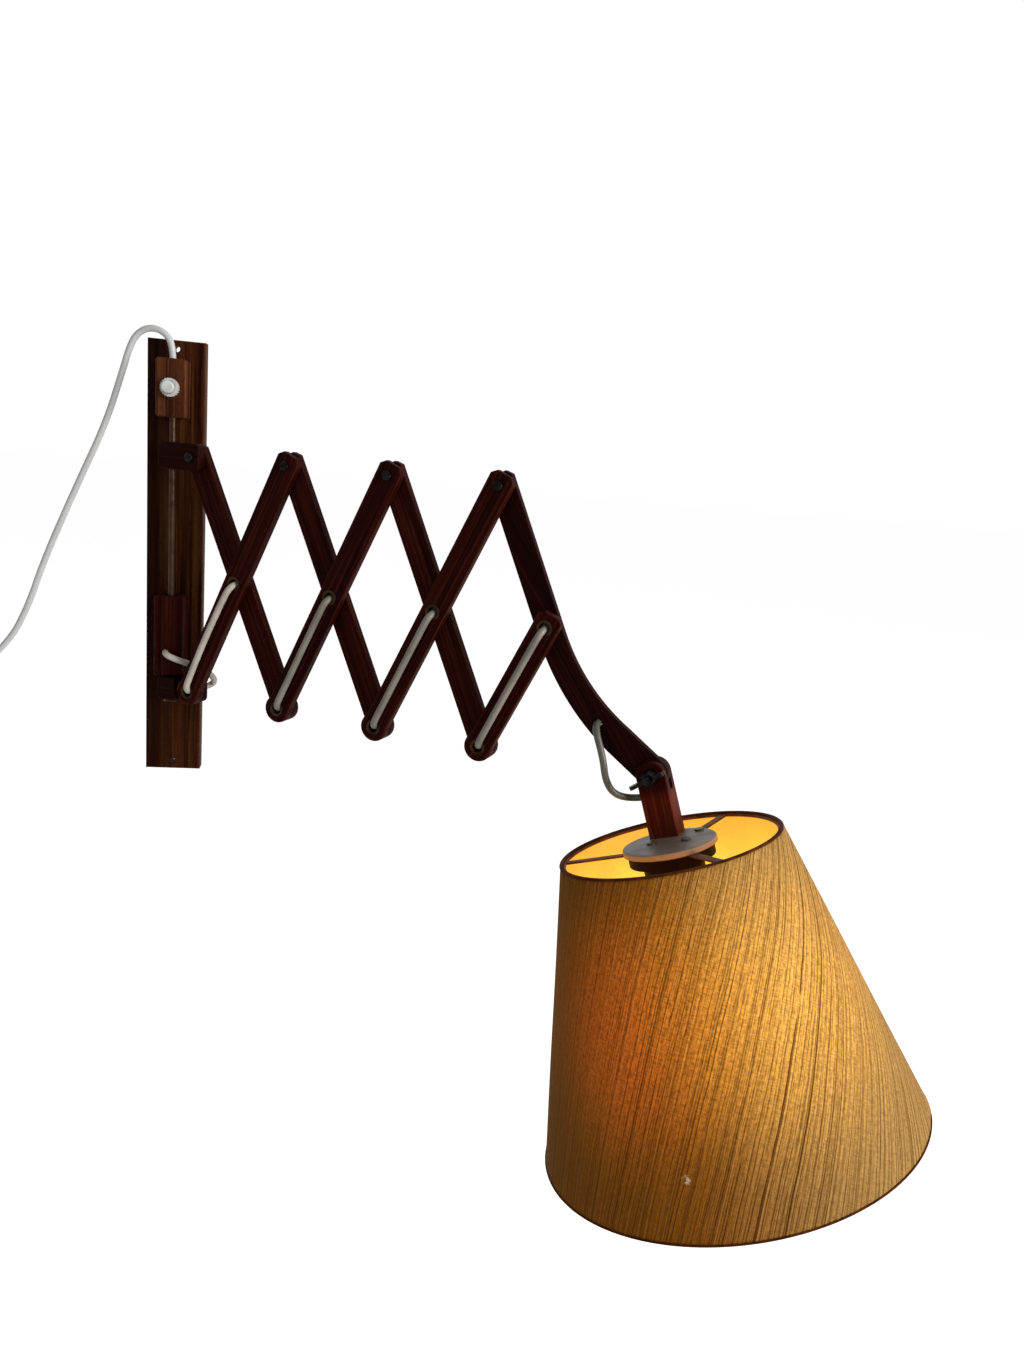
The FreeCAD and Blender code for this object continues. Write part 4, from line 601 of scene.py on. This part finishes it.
# The disc's face is painted darker than its grey-white plastic, as painted shade, and its rim carries the
# bulb's painted glow from below: the glow's share grows with the distance from its axis.
DISC_MIDDLE = (0, 0, -1.75)
RIM_FROM, RIM_FULL = 0.0288, 0.0295
disc_shade_glow_paint, tree, shader = new_paint("disc_painted_shade_and_glow", Specular_IOR_Level=0.3)
where = put(tree, "TexCoord").outputs["Object"]
cloud = noise(tree, where, (60, 60, 60), 6.0, 5.0, 0.4)
face = mixed(tree, ease(tree, cloud, 0.40, 0.66), (0.175, 0.135, 0.105, 1), (0.105, 0.080, 0.062, 1))
flat_place = put(tree, "SeparateXYZ", Vector=local_place(tree, DISC_MIDDLE, SHADE)).outputs
from_axis = calc(tree, "SQRT", calc(tree, "ADD", calc(tree, "POWER", flat_place[0], 2.0),
                                    calc(tree, "POWER", flat_place[1], 2.0)))
glow_lit_rim = ease(tree, from_axis, RIM_FROM, RIM_FULL)
tree.links.new(mixed(tree, glow_lit_rim, face, (0.42, 0.25, 0.155, 1)), shader.inputs["Base Color"])
tree.links.new(calc(tree, "MULTIPLY_ADD", cloud, 0.3, 0.3), shader.inputs["Roughness"])
bump(tree, shader, noise(tree, where, (1200, 1200, 1200), 4.0, 2.0), 0.00003)
coat(["cover_disc"], disc_shade_glow_paint)

# The cap's thread is a profile of round ridges; the glass swells from the neck to a globe, on a curve of
# the second order between them.
BULB_SEAT, BULB_LONG = -23.7, 106.0
CAP_LONG, CAP_R, RIDGE, RIDGE_STEP = 24.0, 13.2, 0.35, 0.55
NECK_R, GLOBE_R, GLOBE_FROM = 13.4, 30.0, 1.15
SHOULDER_R, SHOULDER_UP = 14.6, 15     # the curve's middle point: its radius, and its height over the globe's
thread = [(CAP_R + RIDGE * math.sin(i * math.pi / 3), BULB_SEAT - 3 - i * RIDGE_STEP) for i in range(29)]
cap = np.vstack([[(0, BULB_SEAT), (4.5, BULB_SEAT), (5.0, BULB_SEAT - 1.4), (12.0, BULB_SEAT - 2.6)],
                 thread, [(CAP_R, BULB_SEAT - 21), (NECK_R, BULB_SEAT - 22.5)]])
globe_z = BULB_SEAT - BULB_LONG + GLOBE_R
globe = [(GLOBE_R * math.sin(a), globe_z + GLOBE_R * math.cos(a))
         for a in np.linspace(GLOBE_FROM, math.pi, 30)]
t = np.linspace(0, 1, 14)[:, None]
shoulder = ((1 - t) ** 2 * np.array((NECK_R, BULB_SEAT - CAP_LONG))
            + 2 * t * (1 - t) * np.array((SHOULDER_R, globe[0][1] + SHOULDER_UP))
            + t ** 2 * np.array(globe[0]))
bulb_profile = np.vstack([cap, shoulder, globe[1:]])
bulb_profile[-1, 0] = 0
glass_paint, tree, shader = new_paint("lit_frosted_glass", Base_Color=(0.9, 0.86, 0.78, 1), Roughness=0.35,
                                      Emission_Strength=1.5)
where = put(tree, "TexCoord").outputs["Object"]
from_middle = put(tree, "VectorMath", {"operation": "DISTANCE"}, _0=where,
                  _1=Vector(in_row((0, 0, globe_z), SHADE))).outputs[1]
tree.links.new(mixed(tree, ease(tree, from_middle, 0.026, 0.052), (1.0, 0.80, 0.46, 1),
                     (0.75, 0.44, 0.16, 1)), shader.inputs["Emission Color"])
cap_paint = metal("bulb_cap", [], (0.55, 0.50, 0.40), (0.34, 0.30, 0.22), 0.3)
turned("lit_bulb", bulb_profile, SHADE, "head", ["bulb"], [cap_paint, glass_paint], 64,
       paint_from=len(cap))

# ---- Fabric shade ----------------------------------------------------------------------------------------
# Slub linen on stiff backing, cut as a flat ring sector and lapped along one side, stretched between two
# wire rings; its threads stay straight in the flat cut, so they slant as they go round the cone. The bulb
# shines through it.
SHADE_TOP, SHADE_HIGH = -0.9, 182.0
TOP_R, FOOT_R, MEAN_R = 69.1, 118.6, 100
CLOTH, LAP, LAP_RISE = 0.5, 8.0, 0.62
LAP_SLOPE = 0.09                       # how much of a turn the lap takes to rise, in radians
EDGE_LINE = 1.4                        # the dark line along the lap's edge, in mm
SEAM = math.radians(5.0)
GRAIN = math.radians(185.0)            # the turn at which the threads run straight down
CONE = math.atan((FOOT_R - TOP_R) / SHADE_HIGH)
SLANT = math.hypot(FOOT_R - TOP_R, SHADE_HIGH)


def shade_point(turn, share, proud):
    """Points of the cone in the shade's frame: share 0 at the top ring to 1 at the foot ring, pushed
    proud of the surface along its normal; the radius grows evenly with the share."""
    r = TOP_R + (FOOT_R - TOP_R) * share + proud * math.cos(CONE)
    z = SHADE_TOP - SHADE_HIGH * share + proud * math.sin(CONE)
    return np.stack(np.broadcast_arrays(r * np.cos(turn), r * np.sin(turn), z), -1)


def flat_cut(turn, share):
    """Where a cone point lies in the flat cut, in metres: a ring sector's angle is the turn times the
    sine of the cone's half angle, and its radius is the slant from the cone's tip."""
    slant = (TOP_R / math.sin(CONE) + SLANT * share) / 1000
    angle = (turn - GRAIN) * math.sin(CONE)
    return np.stack(np.broadcast_arrays(slant * np.sin(angle), slant * np.cos(angle)), -1)


def shade_shell(name, rows, columns, proud, thick, lap, node, paint):
    """The cone's grid from the seam round to the lap's edge, with the flat cut as its UV map."""
    turn = np.linspace(SEAM, SEAM + 2 * math.pi + lap, columns)[None, :]
    share = np.linspace(0, 1, rows)[:, None]
    over = np.clip((turn - SEAM - 2 * math.pi + LAP_SLOPE) / LAP_SLOPE, 0, 1)
    lift = proud + (LAP_RISE * over ** 2 * (3 - 2 * over) if lap else 0 * over)
    # The backing is never quite round: slow waves, a fraction of a millimetre high, run round it.
    wave = 0.16 * np.sin(3 * turn + 4 * share) * np.sin(math.pi * share) + 0.10 * np.sin(7 * turn - 5 * share)
    points = shade_point(turn, share, lift + wave * np.sin(math.pi * share))
    cut = np.broadcast_to(flat_cut(turn, share), (rows, columns, 2)).reshape(-1, 2)
    mesh = bpy.data.meshes.new(name)
    faces = grid_faces(rows, columns, False, False)[:, ::-1]
    mesh.from_pydata(in_row(points.reshape(-1, 3), SHADE).tolist(), [], faces.tolist())
    corners = np.empty(len(mesh.loops), np.int32)
    mesh.loops.foreach_get("vertex_index", corners)
    mesh.uv_layers.new(name="cut").data.foreach_set("uv", cut[corners].ravel())
    mesh.materials.append(paint)
    mesh.shade_smooth()
    piece = bpy.data.objects.new(name, mesh)
    bpy.context.scene.collection.objects.link(piece)
    wall = piece.modifiers.new("wall", "SOLIDIFY")
    wall.thickness, wall.offset = thick / 1000, -1
    near_edge = np.clip(1 - (turn[0, -1] - turn) * MEAN_R / EDGE_LINE, 0, 1) * float(lap > 0)
    near_edge = np.broadcast_to(near_edge, (rows, columns)).ravel()
    mesh.attributes.new("lap_edge", "FLOAT", "POINT").data.foreach_set("value", near_edge)
    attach(piece, "head")
    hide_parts(node)
    return piece


# One thread in each step across the cut: its place in the step and its strength are random, its strength
# fades in and out along it, and it wavers a little.
slubs, given, result = group_tree("slub_lines", {"Across": "Float", "Along": "Float", "Spacing": "Float",
                                                 "Width": "Float", "Seed": "Float"}, {"Line": "Float"})
across, along = given.outputs["Across"], given.outputs["Along"]


def flat_noise(u, v, detail):
    """Noise of two numbers, with cells one wide along each."""
    place = put(slubs, "CombineXYZ", _0=u, _1=v).outputs[0]
    return put(slubs, "TexNoise", {"noise_dimensions": "2D"}, Vector=place, Scale=1.0, Detail=detail).outputs[0]


WAVER = 0.0016                         # how far a thread strays, in metres
waver = flat_noise(calc(slubs, "MULTIPLY", across, 60.0), calc(slubs, "MULTIPLY", along, 22.0), 2.0)
moved = calc(slubs, "MULTIPLY_ADD", waver, WAVER, across)
step = calc(slubs, "ADD", calc(slubs, "DIVIDE", moved, given.outputs["Spacing"]), given.outputs["Seed"])
count = calc(slubs, "FLOOR", step)
drawn = put(slubs, "TexWhiteNoise", {"noise_dimensions": "1D"},
            W=calc(slubs, "ADD", count, given.outputs["Seed"]))
drawn = put(slubs, "SeparateXYZ", Vector=drawn.outputs["Color"]).outputs
middle = calc(slubs, "MULTIPLY_ADD", drawn[0], 0.5, 0.25)
off = calc(slubs, "ABSOLUTE", calc(slubs, "SUBTRACT", calc(slubs, "FRACT", step), middle))
fade = flat_noise(calc(slubs, "MULTIPLY", count, 3.7), calc(slubs, "MULTIPLY", along, 26.0), 3.0)
width = calc(slubs, "DIVIDE", given.outputs["Width"], given.outputs["Spacing"])
line = ease(slubs, calc(slubs, "DIVIDE", off, width), 1.0, 0.25)
line = calc(slubs, "MULTIPLY", line, calc(slubs, "MULTIPLY_ADD", drawn[1], 0.7, 0.3))
line = calc(slubs, "MULTIPLY", line, ease(slubs, fade, 0.22, 0.48))
slubs.links.new(line, result.inputs["Line"])

linen, tree, shader = new_paint("slub_linen", Roughness=0.85, Specular_IOR_Level=0.05, Emission_Strength=1.0)
cut = put(tree, "UVMap", {"uv_map": "cut"}).outputs[0]
across, along = put(tree, "SeparateXYZ", Vector=cut).outputs[:2]
# Each set's spacing and half width in mm, its seed and its strength; the last set is pale.
THREADS = ((15.0, 0.80, 7.0, 1.0), (5.4, 0.66, 31.0, 0.80), (2.7, 0.50, 57.0, 0.85), (1.35, 0.32, 83.0, 0.50),
           (3.7, 0.50, 109.0, 0.20))
lines = []
for spacing, width, seed, strength in THREADS:
    line = put(tree, "Group", {"node_tree": slubs}, Across=across, Along=along, Spacing=spacing / 1000,
               Width=width / 1000, Seed=seed).outputs[0]
    lines.append(calc(tree, "MULTIPLY", line, strength))
dark, light = lines[0], lines[-1]
for line in lines[1:-1]:
    dark = calc(tree, "MAXIMUM", dark, line)
warp = noise(tree, cut, (1500, 130, 0), 11.0, 2.0)
weft = noise(tree, cut, (210, 1300, 0), 12.0, 2.0)
fleck = noise(tree, cut, (620, 420, 0), 13.0, 3.0)
weave = calc(tree, "ADD", calc(tree, "MULTIPLY", warp, 0.9), calc(tree, "MULTIPLY", weft, 0.75))
weave = calc(tree, "ADD", weave, calc(tree, "MULTIPLY", fleck, 0.9))
tone = ease(tree, weave, 0.95, 1.6)
where = put(tree, "TexCoord").outputs["Object"]


def lamp_spot(at, near, far):
    """1 within near of a point of the shade's frame, in mm, falling smoothly to 0 at far."""
    gap = put(tree, "VectorMath", {"operation": "DISTANCE"}, _0=where,
              _1=Vector(in_row(at, SHADE))).outputs[1]
    return ease(tree, gap, far / 1000, near / 1000)


# Most light comes through a band round the shade's middle height.
in_shade = local_place(tree, (0, 0, 0), SHADE)
height = put(tree, "SeparateXYZ", Vector=in_shade).outputs[2]
band = calc(tree, "MULTIPLY", ease(tree, height, -0.178, -0.070), ease(tree, height, 0.012, -0.060))


def facing(turn):
    """The cosine of the angle between a point's turn round the axis and the given one."""
    out = put(tree, "VectorMath", {"operation": "MULTIPLY"}, _0=in_shade, _1=Vector((1, 1, 0))).outputs[0]
    out = put(tree, "VectorMath", {"operation": "NORMALIZE"}, _0=out).outputs[0]
    turn = math.radians(turn)
    return put(tree, "VectorMath", {"operation": "DOT_PRODUCT"}, _0=out,
               _1=Vector((math.cos(turn), math.sin(turn), 0))).outputs[1]


PULLED_THREAD = (1.4, -110.1, -151.8)
# Painted glow of the bulb: a yellow and a red pool of light on the cloth, fixed in the shade's frame.
yellow_glow_spot = lamp_spot((64, -64, -76), 0, 105)
red_glow_spot = lamp_spot((-24, -88, -80), 5, 88)
# Painted shade darkens the cloth and dims its glow on the side round 193 degrees.
edge_shade = calc(tree, "MULTIPLY", ease(tree, facing(193), 0.30, 1.0), 0.80)
# Painted light: the side toward the window is paler and the side away from it redder; the fluff of a
# pulled thread shows low on the front.
cloth = mixed(tree, ease(tree, facing(345), 0.25, 1.0), (0.40, 0.140, 0.010, 1), (0.45, 0.270, 0.080, 1))
# The red pool of painted light tints the cloth's own colour too.
cloth = mixed(tree, red_glow_spot, cloth, (0.42, 0.085, 0.010, 1))
cloth = mixed(tree, calc(tree, "MULTIPLY_ADD", tone, -0.52, 0.52), cloth, (0.13, 0.035, 0.003, 1))
cloth = mixed(tree, light, cloth, (0.72, 0.48, 0.20, 1))
cloth = mixed(tree, edge_shade, cloth, (0.120, 0.052, 0.006, 1))
cloth = mixed(tree, dark, cloth, (0.065, 0.020, 0.003, 1))
lap_edge = put(tree, "Attribute", {"attribute_name": "lap_edge"}).outputs["Fac"]
cloth = mixed(tree, lap_edge, cloth, (0.035, 0.018, 0.010, 1))
pulled = noise(tree, cut, (330, 700, 0), 14.0, 4.0)
pulled = calc(tree, "MULTIPLY", ease(tree, pulled, 0.47, 0.55), lamp_spot(PULLED_THREAD, 0.8, 3.4))
cloth = mixed(tree, pulled, cloth, (0.85, 0.66, 0.40, 1))
tree.links.new(cloth, shader.inputs["Base Color"])

# The bulb's light comes through between the threads, brightest round the middle.
glow = mixed(tree, band, (0.020, 0.003, 0.0, 1), (0.175, 0.050, 0.002, 1))
glow = mixed(tree, red_glow_spot, glow, (0.430, 0.085, 0.008, 1))
glow = mixed(tree, yellow_glow_spot, glow, (0.94, 0.400, 0.035, 1))
glow = mixed(tree, calc(tree, "MULTIPLY_ADD", tone, -0.72, 0.72), glow, (0.0, 0.0, 0.0, 1))
# The dark threads and the painted shade dim the glow.
dull = calc(tree, "MAXIMUM", calc(tree, "MULTIPLY", dark, 0.93), edge_shade)
glow = mixed(tree, dull, glow, (0.010, 0.003, 0.0, 1))
glow = mixed(tree, lap_edge, glow, (0.0, 0.0, 0.0, 1))
tree.links.new(glow, shader.inputs["Emission Color"])
bump(tree, shader, calc(tree, "SUBTRACT", weave, dark), 0.00022)
shade_cloth = shade_shell("shade_cloth", 72, 300, -0.1, CLOTH, LAP / MEAN_R, "shade_cover", linen)

# The lining glows from red-yellow at the rims to pale yellow beside the bulb, a little clouded.
lining, tree, shader = new_paint("lit_lining", Roughness=0.6, Specular_IOR_Level=0.2, Emission_Strength=1.0,
                                 Base_Color=(0.42, 0.27, 0.08, 1))
height = put(tree, "SeparateXYZ", Vector=local_place(tree, (0, 0, 0), SHADE)).outputs[2]
cut = put(tree, "UVMap", {"uv_map": "cut"}).outputs[0]
cloud = noise(tree, cut, (46, 46, 0), 21.0, 4.0)
weave = calc(tree, "ADD", noise(tree, cut, (900, 110, 0), 22.0, 2.0),
             noise(tree, cut, (110, 900, 0), 23.0, 2.0))
glow = mixed(tree, ease(tree, height, -0.002, -0.052), (0.76, 0.35, 0.030, 1), (0.94, 0.62, 0.060, 1))
glow = mixed(tree, ease(tree, height, -0.045, -0.095), glow, (0.95, 0.72, 0.16, 1))
glow = mixed(tree, ease(tree, height, -0.120, -0.180), glow, (0.62, 0.33, 0.05, 1))
glow = mixed(tree, calc(tree, "MULTIPLY", ease(tree, cloud, 0.40, 0.7), 0.35), glow, (0.70, 0.30, 0.025, 1))
glow = mixed(tree, calc(tree, "MULTIPLY", ease(tree, weave, 0.95, 1.25), 0.16), glow, (0.45, 0.17, 0.01, 1))
tree.links.new(glow, shader.inputs["Emission Color"])
bump(tree, shader, weave, 0.0001)
shade_lining = shade_shell("shade_lining", 40, 220, -CLOTH - 0.2, 0.75, 0.0, "shade_liner", lining)

# Both edges are bound with narrow dark brown tape, turned over the rim and glued round the wire inside.


def eased(corners, radius, steps):
    """Rounds each corner of a ring by a curve of the second order, which leaves its runs at radius."""
    t = np.linspace(0, 1, steps)[:, None]
    points = []
    for i, corner in enumerate(corners):
        before, after = corners[i - 1] - corner, corners[(i + 1) % len(corners)] - corner
        reach = min(radius, np.linalg.norm(before) / 2.2, np.linalg.norm(after) / 2.2)
        start, end = corner + unit(before) * reach, corner + unit(after) * reach
        points.append((1 - t) ** 2 * start + 2 * t * (1 - t) * corner + t ** 2 * end)
    return np.vstack(points)


def rim_tape(name, share, foot, outside, inside):
    """A tape's section carried round the rim: up or down its outside, over the rim and back inside."""
    turn = np.linspace(0, 2 * math.pi, 240, endpoint=False)
    side = -1 if foot else 1
    r = TOP_R + (FOOT_R - TOP_R) * share
    z = SHADE_TOP - SHADE_HIGH * share
    legs = [(0.10, -outside), (0.50, -outside + 0.1), (0.55, -0.2), (0.3, 0.3), (-0.8, 0.4), (-1.7, 0.3),
            (-2.2, -0.2), (-2.3, -inside), (-1.8, -inside), (-1.7, -0.5), (-0.8, -0.25), (0.05, -0.3)]
    ring = eased(np.array(legs), 0.35, 3)
    radius = r + ring[:, :1] - side * ring[:, 1:] * math.tan(CONE)
    height = z + side * ring[:, 1:]
    wobble = 0.12 * np.sin(23 * turn + side) * (ring[:, 1:] < -1)
    points = np.stack([radius * np.cos(turn), radius * np.sin(turn), height + wobble], -1).reshape(-1, 3)
    return surface(name, points, grid_faces(len(ring), len(turn), True, True), SHADE, "head",
                   ["shade_trims"], [tape_paint], sharp=60)


tape_paint, tree, shader = new_paint("brown_tape", Specular_IOR_Level=0.05)
where = put(tree, "TexCoord").outputs["Object"]
cloud = noise(tree, where, (90, 90, 90), 5.0, 4.0)
rib = noise(tree, where, (900, 900, 2600), 6.0, 1.0)
tree.links.new(mixed(tree, ease(tree, cloud, 0.35, 0.65), (0.105, 0.025, 0.003, 1), (0.040, 0.010, 0.001, 1)),
               shader.inputs["Base Color"])
tree.links.new(calc(tree, "MULTIPLY_ADD", cloud, 0.2, 0.6), shader.inputs["Roughness"])
bump(tree, shader, rib, 0.0002)
tapes = [rim_tape("top_tape", 0.0, False, 0.9, 3.0), rim_tape("foot_tape", 1.0, True, 0.8, 3.0)]
